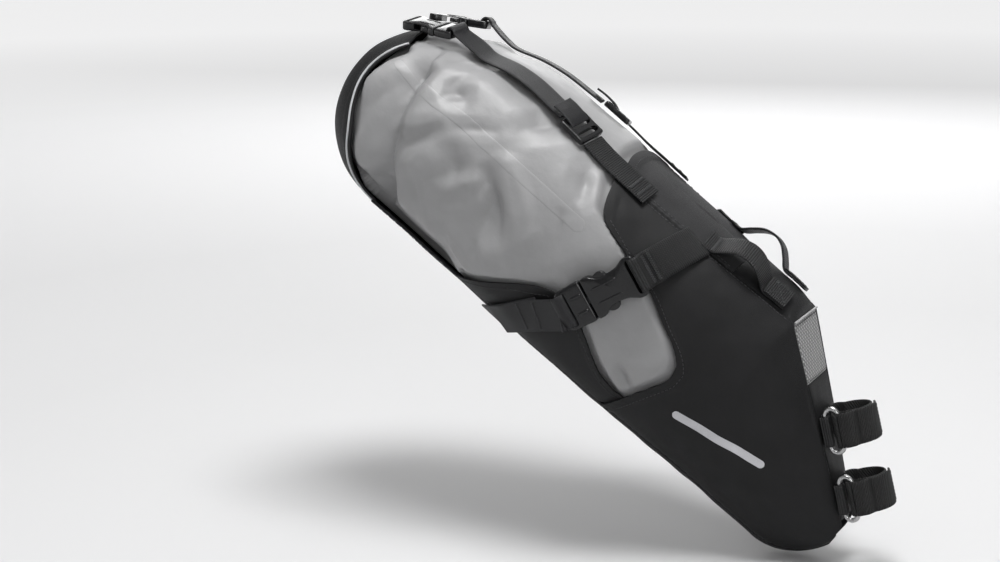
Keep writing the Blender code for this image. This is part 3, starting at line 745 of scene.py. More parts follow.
def relax(obj, free):
    """Lets the free part of a closed cloth settle by simulation under pressure, a little way at most."""
    rest = [v.co.copy() for v in obj.data.vertices]
    held = obj.vertex_groups.new(name="held")
    for i, share in enumerate(free):
        held.add([i], 1 - share, "REPLACE")
    cloth = obj.modifiers.new("cloth", "CLOTH")
    settings = cloth.settings
    settings.quality = 5
    settings.mass = 0.25
    settings.tension_stiffness = settings.compression_stiffness = 18
    settings.shear_stiffness = 6
    settings.bending_stiffness = 0.4
    settings.use_pressure = True
    settings.uniform_pressure_force = 3.0
    settings.vertex_group_mass = "held"
    settings.effector_weights.gravity = 0
    cloth.collision_settings.use_collision = False
    for step in range(1, RELAX_FRAMES + 1):
        bpy.context.scene.frame_set(step)
    graph = bpy.context.evaluated_depsgraph_get()
    moved = [v.co.copy() for v in obj.evaluated_get(graph).data.vertices]
    obj.modifiers.clear()
    bpy.context.scene.frame_set(1)
    for vertex, start, end, share in zip(obj.data.vertices, rest, moved, free):
        step = (end - start) * share
        if step.length > RELAX_MOST * MM:
            step *= RELAX_MOST * MM / step.length
        vertex.co = start + step


def free_share(point):
    """How freely a point of the dry bag may move: 0 under the harness and the webbing, 1 where it shows."""
    flat = point / MM
    a, n = flat.dot(BACK), flat.dot(OUT)
    if not 30 < a < 440:
        return 0.0
    angle = angle_at_n(a, n)
    return exposed(a, angle, flat.y, n) * (1 - min(strap_press(a, flat.y, n) * 1.5, 1.0))


def dry_bag():
    obj = solid_tube("dry_bag", shut(dry_rows()), DRY)
    relax(obj, [free_share(v.co) for v in obj.data.vertices])
    return place_piece(obj, "harness", "dry_fabric", "dry_bag_body", "dry_bag_closure")


DRY_BAG = dry_bag()


# Harness panels


def places_to_rows(places, side, lift_of):
    """Points on the skin for a grid of (a, angle), raised by lift_of(a, angle, edge distances)."""
    flat = [[flat_place(a, angle) for a, angle in row] for row in places]
    rows = []
    for j, row in enumerate(places):
        lengths = [0.0]
        for p, q in zip(flat[j], flat[j][1:]):
            lengths.append(lengths[-1] + (q - p).length)
        points = []
        for i, (a, angle) in enumerate(row):
            below = (flat[j][i] - flat[0][i]).length
            above = (flat[-1][i] - flat[j][i]).length
            edges = (lengths[i], lengths[-1] - lengths[i], below, above)
            points.append(on_skin(a, angle, side, lift_of(a, angle, edges))[0])
        rows.append(points)
    return rows


def resampled(points, count):
    found = resample([flat_place(a, angle) for a, angle in points], count)
    return [(p.x, p.y / ARC) for p in found]


def flat_coons(bottom, top, front, rear, across, up):
    """A grid of (a, angle) between four edges."""
    counts = ((bottom, across), (top, across), (front, up), (rear, up))
    edges = [[Vector(p) for p in resampled(edge, count)] for edge, count in counts]
    return [[tuple(p) for p in row] for row in coons(*edges)]


def outline(points, shift=0.0):
    return [(a + shift, angle_at_n(a + shift, n)) for a, n in points]


def round_corners(points, count=60):
    return [(p.x, p.y) for p in curved([Vector(p).to_3d() for p in points], count)]


PUCKER_PITCH, PUCKER_REACH = 6.5, 7.0


def pinch(distance, depth=0.9, reach=3.0):
    """A seam pulls the cloth down towards its line."""
    return -depth * math.exp(-distance / reach)


def hem(distance, width, height=0.7):
    """A folded hem, thicker than the cloth, with a groove where it is sewn."""
    return height * (1 - smooth(width, width + 1.2, distance)) - 0.35 * bump(distance, width - 1.6, 1.3)


def pucker(along, distance, depth=0.35):
    """Small ripples beside a row of stitches."""
    phase = 2.0 * rough(along / 19, distance / 30, 0.3)
    return depth * math.sin(2 * math.pi * along / PUCKER_PITCH + phase) * bump(distance, 0, PUCKER_REACH)


def drape(a, angle, side, size):
    """Broad soft wrinkles of the stuffed harness."""
    s = angle * ARC
    long_folds = rough((a - 0.45 * s) / 26, (s + 0.45 * a) / 75, side * 5.3)
    return size * (1.5 * long_folds + 0.6 * rough(a / 15, s / 17, side * 2.7))


def side_panel(word, side):
    start, end = NOSE_AT + 4, CUP_REAR[0][0]
    bottom = [(a, TONGUE_ANGLE + 0.004) for a in evenly(start, end, 30)]
    corner = front_a(SEAM_N)
    top = [(a, angle_at_n(a, SEAM_N)) for a in evenly(corner, WINDOW_TOP[-1][0], 30)]
    front = [bottom[0], (start, math.radians(60)), (start, math.radians(75))]
    front += [(a, angle_at_n(a, front_n(a))) for a in evenly(start + 2, corner, 20)]
    rear = round_corners([bottom[-1], *outline(CUP_REAR[1:] + WINDOW_TOP[:-1]), top[-1]])
    places = flat_coons(bottom, top, front, rear, 100, 120)

    def lift(a, angle, edges):
        to_front, to_rear, to_bottom, to_top = edges
        middle = smooth(0, 25, min(edges))
        relief = drape(a, angle, side, middle) + hem(to_rear, 8.0)
        relief += pinch(to_bottom) + pinch(to_top) + pinch(to_front)
        return relief + pucker(a + angle * ARC, to_rear) + pucker(a, to_top) + pucker(a, to_bottom)

    rows = places_to_rows(places, side, lift)
    outward = on_skin(*places[60][50], side)[1]
    obj = cloth_sheet(f"side_panel_{word}_cloth", rows, outward, HARNESS)
    place_piece(obj, "harness", "harness_fabric", f"side_panel_{word}")


def wing(word, side):
    edge = TONGUE_ANGLE + 0.004
    bottom = [(a, edge) for a in evenly(CUP_REAR[0][0] - 5, 300, 20)]
    front = [bottom[0], *outline(((153, -79), (149, -66)))]
    top = round_corners([front[-1], *outline(WING_TOP[1:-1], 0.8), (300.8, edge + 0.09)])
    places = flat_coons(bottom, top, front, [bottom[-1], top[-1]], 90, 36)

    def lift(a, angle, edges):
        to_front, _, to_bottom, to_top = edges
        soft = drape(a, angle, side, 0.5 * smooth(0, 15, min(edges)))
        under = -1.7 * (1 - smooth(3, 9, to_front))
        to_tab, _ = off_line(section_vector(a, angle), Vector((231, -48)), Vector((263, -91)))
        return soft + hem(to_top, 6.0, 0.6) + pinch(to_bottom) + under - 0.8 * bump(to_tab, 0, 20)

    rows = places_to_rows(places, side, lift)
    outward = on_skin(*places[18][45], side)[1]
    obj = cloth_sheet(f"wing_{word}_cloth", rows, outward, HARNESS)
    place_piece(obj, "harness", "harness_fabric", f"wing_{word}")


def section_vector(a, angle):
    return Vector((a, section_point(a, angle)[1]))


def tongue_edge(a):
    return TONGUE_ANGLE - 0.004 + math.radians(8) * smooth(296, 325, a)


def underside_tongue():
    rows = []
    for a in [*evenly(-26, 20, 24), *evenly(23, TAIL_FROM + 1, 110)]:
        row = []
        for share in evenly(-1.0, 1.0, 61):
            side = LEFT if share > 0 else RIGHT
            angle = tongue_edge(a) * abs(share)
            to_edge = (1 - abs(share)) * tongue_edge(a) * ARC
            free = smooth(296, 330, a)
            lift = pinch(to_edge) * (1 - free) + hem(to_edge, 8.0, 0.6) * free
            lift += 1.6 * free * smooth(14, 0, to_edge)
            soft = 0.6 * smooth(0, 14, to_edge) * smooth(-26, 0, a)
            lift += drape(a, angle, side, soft) + pucker(a, to_edge, 0.3)
            row.append(on_skin(a, angle, side, lift)[0])
        rows.append(row)
    obj = cloth_sheet("underside_tongue_cloth", rows, -OUT, HARNESS, 1.8)
    place_piece(obj, "harness", "harness_fabric", "underside_tongue")


def tail_flap():
    rows = []
    for turn in evenly(-math.pi / 2, FLAP_END, 110):
        edge = flap_edge(turn, FACING)
        row = []
        for share in evenly(-1.0, 1.0, 97):
            y = edge * (math.sin(share * 1.45) / math.sin(1.45))
            to_edge = (edge - abs(y)) * (1 + 0.8 * abs(share))
            to_end = (FLAP_END - turn) * ARC
            lift = 0.5 * (1 - smooth(10, 12, to_edge)) - 0.7 * bump(to_edge, FACING, 1.8)
            lift += hem(to_end, 10.0, 0.6) + 0.9 * rough(y / 22, turn * 3.1, 4.4) * smooth(0, 12, to_edge)
            row.append(tail_point(turn, y, lift))
        rows.append(row)
    obj = cloth_sheet("tail_flap_cloth", rows, BACK, HARNESS, 1.5)
    place_piece(obj, "harness", "harness_fabric", "tail_flap")


def piping(word, side):
    turns = evenly(-math.pi / 2 + 0.01, FLAP_END, 60)
    points = [tail_point(turn, flap_edge(turn, 0.3) * side, 0.3) for turn in turns]
    obj = cord_tube(f"tail_piping_{word}_cord", points, 1.0, PIPING)
    place_piece(obj, "harness", "piping", f"tail_piping_{word}")


def cord_tube(name, points, radius, surface, closed=False, sides=12):
    """A round tube through world points; the radius is in millimetres."""
    rings, last = [], None
    count = len(points)
    for i, point in enumerate(points):
        after = points[(i + 1) % count] if closed or i < count - 1 else point
        before = points[i - 1] if closed or i else point
        heading = (after - before).normalized()
        guide = last if last else (OUT if abs(heading.dot(OUT)) < 0.9 else ACROSS)
        first = (guide - heading * guide.dot(heading)).normalized()
        second, last = heading.cross(first), first
        turns = (2 * math.pi * k / sides for k in range(sides))
        rings.append([point + (first * math.cos(t) + second * math.sin(t)) * radius * MM for t in turns])
    if not closed:
        return solid_tube(name, rings, surface)
    mesh = mesh_of_rows(name, [*rings, rings[0]], closed=True)
    obj = new_object(name, mesh, surface)
    made = bmesh.new()
    made.from_mesh(mesh)
    bmesh.ops.remove_doubles(made, verts=made.verts, dist=1e-6)
    bmesh.ops.recalc_face_normals(made, faces=made.faces)
    made.to_mesh(mesh)
    made.free()
    return obj


def crown_angle(a, share):
    """The angle at this share of the way from the crown to the top seam."""
    return math.pi - (math.pi - angle_at_n(a, SEAM_N)) * abs(share)


def over_rows(start_of, end_of, count, relief, lead=()):
    """Rows of a panel across the crown, between two edges given as a from a share across, after lead."""
    rows = list(lead)
    for v in evenly(0.0, 1.0, count):
        row = []
        for share in ACROSS_CROWN:
            a = lerp(start_of(share), end_of(share), v)
            side = LEFT if share > 0 else RIGHT
            angle, span = crown_angle(a, share), end_of(share) - start_of(share)
            to_seam = (math.pi - angle_at_n(a, SEAM_N)) * (1 - abs(share)) * ARC
            row.append(on_skin(a, angle, side, relief(a, angle, side, v * span, (1 - v) * span, to_seam))[0])
        rows.append(row)
    return rows


ACROSS_CROWN = evenly(-1.0, 1.0, 97)
TOP_SEAM_A = 150.0
YOKE_REAR_A, YOKE_ARCH = 250.0, 12.0


def front_edge_a(share):
    low, high = front_a(SEAM_N + 1), front_a(60)
    return lerp(low, high, (1 - share**2) ** 0.5 * 0.98 + 0.02) + 1.2


def yoke_rear_a(share):
    return YOKE_REAR_A + YOKE_ARCH * (1 - share * share)


def front_relief(a, angle, side, to_front, to_rear, to_seam):
    soft = drape(a, angle, side, 0.5 * smooth(0, 14, min(to_front, to_rear, to_seam)))
    return soft + pinch(to_front) + pinch(to_rear) + pinch(to_seam) + pucker(a, to_seam, 0.25)


def yoke_relief(a, angle, side, to_front, to_rear, to_seam):
    soft = drape(a, angle, side, 0.6 * smooth(0, 14, min(to_front, to_rear, to_seam)))
    return soft + pinch(to_front) + hem(to_rear, 8.0) + pinch(to_seam) + pucker(a, to_seam)


def brow():
    """Rows that carry the front top panel down over its front edge to the seatpost patch."""
    rows = []
    for down in evenly(1.0, 0.12, 8):
        row = []
        for share in ACROSS_CROWN:
            a = front_edge_a(share)
            edge = on_skin(a, crown_angle(a, share), LEFT if share > 0 else RIGHT, -0.9)[0]
            foot = on_front(PATCH_TO, share * front_edge_y(PATCH_TO), -0.4)
            swell = 1.6 * down * (1 - down) * 4 * (1 - share**2)
            row.append(lerp(edge, foot, down) + (OUT - POST_BACK) * swell * 0.7 * MM)
        rows.append(row)
    return rows


def top_panels():
    rows = over_rows(front_edge_a, lambda share: TOP_SEAM_A, 50, front_relief, brow())
    obj = cloth_sheet("front_top_cloth", rows, OUT, HARNESS)
    place_piece(obj, "harness", "harness_fabric", "front_top_panel")
    rows = over_rows(lambda share: TOP_SEAM_A, yoke_rear_a, 80, yoke_relief)
    place_piece(cloth_sheet("yoke_cloth", rows, OUT, YOKE), "harness", "yoke_fabric", "yoke_panel")


PATCH_FROM, PATCH_TO = 61.0, 106.0


def front_edge_y(t):
    point = on_front(t, 0) / MM
    a, n = point.dot(BACK), point.dot(OUT)
    return section_point(a, angle_at_n(a, n))[0] - 1.6


def front_sheet(name, start, end, count, surface, slot, node):
    rows = []
    for t in evenly(start, end, count):
        row = []
        for share in evenly(-1.0, 1.0, 41):
            edge = front_edge_y(t)
            y = share * edge
            to_side, to_end = edge - abs(y), min(t - start, end - t)
            wrinkle = 0.35 * rough(t / 16, y / 12, 8.8) * smooth(0, 8, min(to_side, to_end))
            row.append(on_front(t, y, wrinkle + pinch(to_side, 0.6, 2.0) + pinch(to_end, 0.4, 1.5)))
        rows.append(row)
    place_piece(cloth_sheet(name, rows, -POST_BACK, surface), "harness", slot, node)


for word, sign in SIDES:
    side_panel(word, sign)
    wing(word, sign)
    piping(word, sign)
underside_tongue()
tail_flap()
top_panels()
front_sheet("front_cloth", -42.0, PATCH_FROM, 80, HARNESS, "harness_fabric", "front_panel")
front_sheet("seatpost_patch_cloth", PATCH_FROM, PATCH_TO, 40, PATCH, "patch", "seatpost_patch")


# Webbing


LAY, WEB = 1.3, 1.6
ON_WEB = WEB + 0.15
FACE_STEPS = 10


def web_rows(points, normals, width, thickness):
    """Rings round a strap, its inner face on the points and its thickness along the normals."""
    rings = []
    widths = width if isinstance(width, list) else [width] * len(points)
    for i, (point, normal, width) in enumerate(zip(points, normals, widths)):
        ahead = points[min(i + 1, len(points) - 1)] - points[max(i - 1, 0)]
        across = ahead.cross(normal).normalized() * MM
        up = across.cross(ahead).normalized() * MM
        if up.dot(normal) < 0:
            up = -up
        half, soft = width / 2, 0.35 * thickness
        flat = [(x, 0.0) for x in evenly(-half + soft, half - soft, FACE_STEPS)]
        top = [(x, thickness) for x in evenly(half - soft, -half + soft, FACE_STEPS)]
        left, right = ((half, soft), (half, thickness - soft)), ((-half, thickness - soft), (-half, soft))
        rings.append([point + across * x + up * z for x, z in (*flat, *left, *top, *right)])
    return rings


def web_uvs(rings):
    """Across and along in metres, the same on both faces, so that the ribs run straight through."""
    uvs, along = [], 0.0
    count = len(rings[0])
    for j, ring in enumerate(rings):
        if j:
            along += (ring[count // 4] - rings[j - 1][count // 4]).length
        xs = [(p - ring[0]).length for p in ring]
        uvs.append([(x, along) for x in [*xs, 0.0]])
    return uvs


def web(name, points, normals, width, surface, thickness=WEB):
    rings = web_rows(points, normals, width, thickness)
    return solid_tube(name, rings, surface, web_uvs(rings))


def unit_curve(normals, count):
    return [n.normalized() for n in curved(normals, count)]


def face_along(points, across, towards, at=None):
    """Normals of a strap that lies across this, turned so that the one at this index faces towards."""
    last = len(points) - 1
    spans = [points[min(i + 1, last)] - points[max(i - 1, 0)] for i in range(last + 1)]
    normals = [across.cross(span).normalized() for span in spans]
    return normals if normals[last // 2 if at is None else at].dot(towards) > 0 else [-n for n in normals]


def skin_line(side, stops, count):
    """Smooth points and normals through stops of (a, angle, lift)."""
    found = [on_skin(a, angle, side, lift) for a, angle, lift in stops]
    return curved([p for p, _ in found], count), unit_curve([n for _, n in found], count)


def by_y(stops):
    return [(a, angle_at_y(a, y), lift) for a, y, lift in stops]


def by_n(stops):
    return [(a, angle_at_n(a, n), lift) for a, n, lift in stops]


# Stitches


STITCH = (2.3, 0.55, 0.32)  # length, width, height
BOX_STITCH = (1.9, 0.6, 0.35)


def stitch(made, middle, along, across, up, length, width, height):
    """One raised stitch: a slim rounded lump."""
    rings = []
    for share, size in ((-0.5, 0.35), (-0.3, 0.95), (0.3, 0.95), (0.5, 0.35)):
        ring = []
        for k in range(6):
            turn = math.pi * k / 3
            offset = across * math.cos(turn) * width / 2 + up * math.sin(turn) * height
            ring.append(made.verts.new(middle + (along * share * length + offset * size) * MM))
        rings.append(ring)
    for ring, after in zip(rings, rings[1:]):
        for k in range(6):
            made.faces.new((ring[k], ring[(k + 1) % 6], after[(k + 1) % 6], after[k]))
    made.faces.new(rings[0][::-1])
    made.faces.new(rings[-1])


def sew(made, points, normals, pitch=3.2, sizes=STITCH):
    """A row of stitches along a line of points."""
    reach = sum((q - p).length for p, q in zip(points, points[1:]))
    count = max(int(reach / (pitch * MM)), 2)
    line, ups = resample(points, count * 2 + 1), resample(normals, count * 2 + 1)
    for i in range(1, len(line) - 1, 2):
        along = (line[i + 1] - line[i - 1]).normalized()
        up = ups[i].normalized()
        across = along.cross(up).normalized()
        stitch(made, line[i], along, across, up, *sizes)


def sew_box(made, place, normal, along, length, width):
    """The usual box, with a cross in it, that holds a strap's end. Lengths in millimetres."""
    across = along.cross(normal).normalized() * MM
    along = along.normalized() * MM
    near, far = (place + along * x for x in (0, length))
    edge = across * width / 2
    a, b, c, d = near - edge, far - edge, far + edge, near + edge
    for p, q in ((a, b), (b, c), (c, d), (d, a), (a, c), (b, d)):
        sew(made, [p, q], [normal, normal], 2.6, BOX_STITCH)


def bar_tack(made, place, normal, along, width, length=3.0):
    """Tight zigzag across a strap."""
    across = along.cross(normal).normalized()
    heading = along.normalized()
    count = int(width / 0.85)
    for i in range(count):
        shift = across * (i - (count - 1) / 2) * 0.85 * MM
        lean = (heading + across * (0.16 if i % 2 else -0.16)).normalized()
        aside = lean.cross(normal).normalized()
        stitch(made, place + shift, lean, aside, normal.normalized(), length, 0.6, 0.4)


def finish_thread(name, made, body, slot):
    layer = made.loops.layers.uv.new("metres")
    for face in made.faces:
        for loop in face.loops:
            loop[layer].uv = (loop.vert.co.x, loop.vert.co.z)
    bmesh.ops.recalc_face_normals(made, faces=made.faces)
    place_piece(new_object(name, finished(name, made), THREAD), body, slot)


# Straps over the bag

LOCK_A, LOCK_Y = 297.0, 35.0
RAIL_ARCH = (
    (108, 20, LAY), (118, 21, LAY), (127, 22, LAY), (134, 23, 7.5), (141, 24, 13), (149, 25, 15),
    (157, 26, 13), (164, 27, 7.5), (171, 28, LAY), (180, 29, LAY),
)  # fmt: skip
TOP_STRAP = (
    (404, 23.2, 4.6), (396, 24, 3), (385, 25.2, 1.9), (365, 27, 1.6), (345, 29.5, 1.6),
    (325, 32, 1.9), (312.5, 33.5, 2.4)
)  # fmt: skip
TOP_ANCHOR = (
    (286, 36.2, 2.4), (278, 37, 2.0), (266, 37.6, LAY), (252, 38, LAY), (240, 38, LAY), (228, 38, LAY),
)  # fmt: skip
SIDE_TAB = (
    (263, -91, LAY), (256, -83, LAY), (248, -72, LAY), (239, -59, LAY), (231, -48, 2.2), (227, -43, 3.4),
)  # fmt: skip


def lifted(stops, extra):
    return [(a, angle, lift + extra) for a, angle, lift in stops]


def rail_strap(word, side, threads):
    stops = by_y(RAIL_ARCH)
    points, normals = skin_line(side, stops, 70)
    strap = web(f"rail_strap_{word}_webbing", points, normals, 20, WEBBING)
    place_piece(strap, "harness", "webbing", f"rail_strap_{word}")
    fold, fold_normals = skin_line(side, lifted(stops[:3], WEB), 20)
    place_piece(web(f"rail_strap_{word}_fold", fold, fold_normals, 19.4, WEBBING, 1.2), "harness", "webbing")
    sew_box(threads, fold[2] + fold_normals[2] * 1.35 * MM, fold_normals[8], fold[12] - fold[2], 13, 14)
    bar_tack(threads, points[-8] + normals[-8] * ON_WEB * MM, normals[-8], points[-4] - points[-12], 18)


def top_anchor(word, side, threads):
    points, normals = skin_line(side, by_y(TOP_ANCHOR), 70)
    strap = web(f"top_anchor_{word}_webbing", points, normals, 20, WEBBING)
    place_piece(strap, "harness", "webbing", f"top_anchor_{word}")
    for i in (52, 61):
        ahead = points[i + 2] - points[i - 2]
        bar_tack(threads, points[i] + normals[i] * ON_WEB * MM, normals[i], ahead, 17, 2.6)


for word, sign in SIDES:
    thread = bmesh.new()
    rail_strap(word, sign, thread)
    top_anchor(word, sign, thread)
    finish_thread(f"strap_stitching_{word}", thread, "harness", "webbing")


# Details that lie on the cloth


TAPE_PLACES = ((244, 115), (340, 115), (400, 121), (438, 132))
TAPE_WIDTH = 11
ON_CLOTH = 0.12
PRINT = (0.35, 0.1)  # thickness and rounding of what is stuck or printed on the cloth
BAR = ((116, -47), (44, -38))  # (a, n) of the ends of the reflective bar
BAR_HALF = 3.2
FLAP_STITCH_IN = 5.5


def laid_on(obj):
    """A function that finds the surface of obj under a place of the skin: (point, normal)."""
    tree = BVHTree.FromObject(obj, bpy.context.evaluated_depsgraph_get())

    def find(a, angle, side, lift=0.0):
        place, outward = on_skin(a, angle, side)
        hit, normal, _, _ = tree.ray_cast(place + outward * 0.02, -outward)
        if hit is None:
            return place + outward * lift * MM, outward
        if normal.dot(outward) < 0:
            normal = -normal
        return hit + outward * lift * MM, normal

    return find


def seam_tape():
    """The thin tape stuck along the dry bag's side seam."""
    find = laid_on(DRY_BAG)
    line = resampled([(a, math.radians(degrees)) for a, degrees in TAPE_PLACES], 120)
    rows = []
    for i, (a, angle) in enumerate(line):
        ends = smooth(0, 3, i) * smooth(0, 3, len(line) - 1 - i)
        half = TAPE_WIDTH / 2 / ARC * math.sqrt(max(ends, 0.02))
        rows.append([find(a, angle + turn, RIGHT, ON_CLOTH)[0] for turn in evenly(-half, half, 9)])
    obj = cloth_sheet("dry_bag_seam_tape", rows, find(*line[60], RIGHT)[1], TAPE, *PRINT)
    place_piece(obj, "harness", "dry_fabric")


def sewn_line(made, find, places, side, count=160):
    found = [find(a, angle, side, 0.05) for a, angle in resampled(places, count)]
    sew(made, [p for p, _ in found], [n for _, n in found])


def flap_stitches(made, side):
    points, normals = [], []
    for turn in evenly(-math.pi / 2 + 0.03, FLAP_END - 0.05, 90):
        y = flap_edge(turn, -FLAP_STITCH_IN) * side
        points.append(tail_point(turn, y, 0.1))
        normals.append((tail_point(turn, y, 1.1) - points[-1]).normalized())
    sew(made, points, normals)


def sewn_panels(word, side):
    """Rows of stitches along the harness's hems and seams."""
    made = bmesh.new()
    names = (f"side_panel_{word}_cloth", f"wing_{word}_cloth", "yoke_cloth", "underside_tongue_cloth")
    panel, wing_cloth, yoke, tongue = (laid_on(bpy.data.objects[name]) for name in names)
    low_seam = TONGUE_ANGLE + 3.2 / ARC
    sewn_line(made, panel, round_corners(outline(CUP_REAR[1:] + WINDOW_TOP[:-1], -6.2)), side, 220)
    sewn_line(made, panel, [(a, low_seam) for a in evenly(4, 150, 20)], side)
    sewn_line(made, panel, [(a, angle_at_n(a, SEAM_N) - 3.4 / ARC) for a in evenly(100, 246, 20)], side)
    sewn_line(made, wing_cloth, [(a, angle_at_n(a, n - 4.6)) for a, n in WING_TOP[1:-1]], side)
    sewn_line(made, wing_cloth, [(a, low_seam) for a in evenly(172, 268, 20)], side)
    sewn_line(made, tongue, [(a, TONGUE_ANGLE - 3.4 / ARC) for a in evenly(6, 292, 30)], side, 240)
    sewn_line(made, tongue, [(a, tongue_edge(a) - 6.4 / ARC) for a in evenly(330, 380, 10)], side, 60)
    sewn_line(made, yoke, [(a, angle_at_n(a, SEAM_N) + 3.2 / ARC) for a in evenly(154, 242, 14)], side, 90)
    rear = [(yoke_rear_a(share) - 6.4, share) for share in evenly(0.02, 0.94, 12)]
    sewn_line(made, yoke, [(a, crown_angle(a, share)) for a, share in rear], side, 60)
    flap_stitches(made, side)
    finish_thread(f"panel_stitching_{word}", made, "harness", "harness_fabric")


def reflective_bar(word, side):
    """A plain straight bar with round ends, printed on the cup's side."""
    cloth = bpy.data.objects[f"side_panel_{word}_cloth"]
    panel = BVHTree.FromObject(cloth, bpy.context.evaluated_depsgraph_get())
    inwards = ACROSS * -side
    start, end = (bag(a, side * 150, n) for a, n in BAR)
    across = inwards.cross(end - start).normalized()
    rows = []
    for i in range(121):
        middle = lerp(start, end, i / 120)
        to_end = min(i, 120 - i) * (end - start).length / 120 / MM
        half = math.sqrt(max(BAR_HALF**2 - max(BAR_HALF - to_end, 0) ** 2, 0.05))
        hits = [panel.ray_cast(middle + across * step * MM, inwards)[0] for step in evenly(-half, half, 9)]
        rows.append([hit - inwards * ON_CLOTH * MM for hit in hits])
    obj = cloth_sheet(f"reflective_bar_{word}", rows, -inwards, REFLECTIVE, *PRINT)
    place_piece(obj, "harness", "patch")


for word, sign in SIDES:
    sewn_panels(word, sign)
    reflective_bar(word, sign)
seam_tape()


def patch_binding():
    """The light bound edge along the top of the seatpost patch."""
    edge = front_edge_y(PATCH_TO)
    points = [on_front(PATCH_TO + 0.4, share * edge, 0.6) for share in evenly(-0.99, 0.99, 40)]
    place_piece(cord_tube("patch_binding", points, 0.9, BINDING), "harness", "piping")
    edges = bmesh.new()
    for t in (PATCH_FROM + 1.8, PATCH_TO - 2.4):
        half = front_edge_y(t) - 2
        sew(edges, [on_front(t, y, 0.1) for y in evenly(-half, half, 20)], [-POST_BACK] * 20)
    finish_thread("patch_stitching", edges, "harness", "patch")


patch_binding()


# Buckles


def frame_at(point, normal, heading):
    z = normal.normalized()
    x = (heading - z * heading.dot(z)).normalized()
    return Matrix.Translation(point) @ Matrix((x, z.cross(x), z)).transposed().to_4x4()


CORNER = 2.8
SHARP_FROM = math.radians(32)


def in_frame(place, places, scale=1.0):
    """World points at these (x, z) of a buckle's frame."""
    return [place @ (Vector((x, 0, z)) * scale * MM) for x, z in places]


def smooth_loop(points, count):
    """A closed outline with rounded corners through 2D points, as evenly spaced points."""
    ring = [Vector((x, y, 0)) for x, y in points]
    fine = []
    for i, corner in enumerate(ring):
        before, after = ring[i - 1] - corner, ring[(i + 1) % len(ring)] - corner
        start = corner + before.normalized() * min(CORNER, before.length * 0.48)
        end = corner + after.normalized() * min(CORNER, after.length * 0.48)
        for t in evenly(0.0, 1.0, 6):
            fine.append(lerp(lerp(start, corner, t), lerp(corner, end, t), t))
    return resample([*fine, fine[0]], count + 1)[:-1]


def mirrored(half):
    """An outline symmetric about the X axis, from its +y half."""
    return [*half, *((x, -y) for x, y in reversed(half))]


def pillow(name, outline_2d, profile, place, scale, count=72):
    """A moulded form: the outline drawn in by each (inset, z, share) of the profile, in place's frame."""
    loop = smooth_loop(outline_2d, count)
    spans = [loop[(i + 1) % count] - loop[i - 1] for i in range(count)]
    normals = [Vector((span.y, -span.x, 0)).normalized() for span in spans]
    area = sum(p.x * q.y - q.x * p.y for p, q in zip(loop, loop[1:] + loop[:1]))
    sign = 1 if area > 0 else -1
    centre = sum(loop, Vector()) / count
    rows = []
    for inset, z, share in profile:
        drawn = [lerp(centre, p - n * sign * inset, share) for p, n in zip(loop, normals)]
        rows.append([place @ ((p + Vector((0, 0, z))) * scale * MM) for p in drawn])
    return solid_tube(name, rows, PLASTIC)


def rounded_profile(low, high, edge, crown=0.0):
    """Insets, heights and shares of a side with rounded edges, and a slightly domed top."""
    turns = evenly(0.0, math.pi / 2, 5)
    corner = [(edge * (1 - math.sin(t)), low + edge * (1 - math.cos(t)), 1.0) for t in turns]
    upper = [(inset, high - crown - (z - low), 1.0) for inset, z, _ in reversed(corner)]
    dome = [(edge, high - crown * share**2, share) for share in (0.85, 0.65, 0.4, 0.15)] if crown else []
    return corner + upper + dome


def carve(obj, cutter):
    """Cuts one closed form out of another for good."""
    joined = obj.modifiers.new("cut", "BOOLEAN")
    joined.operation, joined.solver, joined.object = "DIFFERENCE", "EXACT", cutter
    apply_modifiers(obj)
    bpy.data.objects.remove(cutter, do_unlink=True)
    obj.data.shade_smooth()
    obj.data.set_sharp_from_angle(angle=SHARP_FROM)


def rod_slot(x0, x1, half):
    """A slot's outline with rounded ends."""
    soft = (x1 - x0) * 0.3
    return mirrored([(x0, half - soft), (x0 + soft, half), (x1 - soft, half), (x1, half - soft)])


def brick(x0, x1, half):
    near, far = [(x0, half * 0.6), (x0, half * 0.98)], [(x1, half * 0.98), (x1, half * 0.6)]
    return mirrored([*near, (x0 + 0.4, half), (x1 - 0.4, half), *far])


HOUSING = (
    (-8, 6), (-8, 12.2), (-6.8, 14.6), (-4, 15.4), (0, 15.3), (3.5, 13.4), (8, 11.2), (14, 10.4),
    (21, 10.6), (25.5, 13.4), (27.5, 15.2), (31, 15.5), (33.4, 15.2), (34, 14), (34, 7),
)  # fmt: skip
PLUG = (
    (34.6, 7), (34.6, 14), (35.4, 15.3), (39, 15.5), (46, 15.2), (52, 15), (55.2, 14), (56, 11.5), (56, 5),
)  # fmt: skip


THROUGH = ((0, -3, 1.0), (0, 13, 1.0))  # the profile of a cut right through a buckle
TONGUE = ((12.4, 0.8), (12.6, 2.2), (14.5, 3), (24, 3), (35.5, 3), (36.5, 2.4), (36.6, 1))


def housing(name, place, scale):
    obj = pillow(name, mirrored(HOUSING), rounded_profile(0, 10, 1.6, 0.9), place, scale, 128)
    carve(obj, pillow("hollow", brick(6, 37, 12.3), [(0, 2.2, 1.0), (0, 7.8, 1.0)], place, scale))
    carve(obj, pillow("bar_slot", rod_slot(-5.2, -0.8, 12.8), THROUGH, place, scale))
    return obj


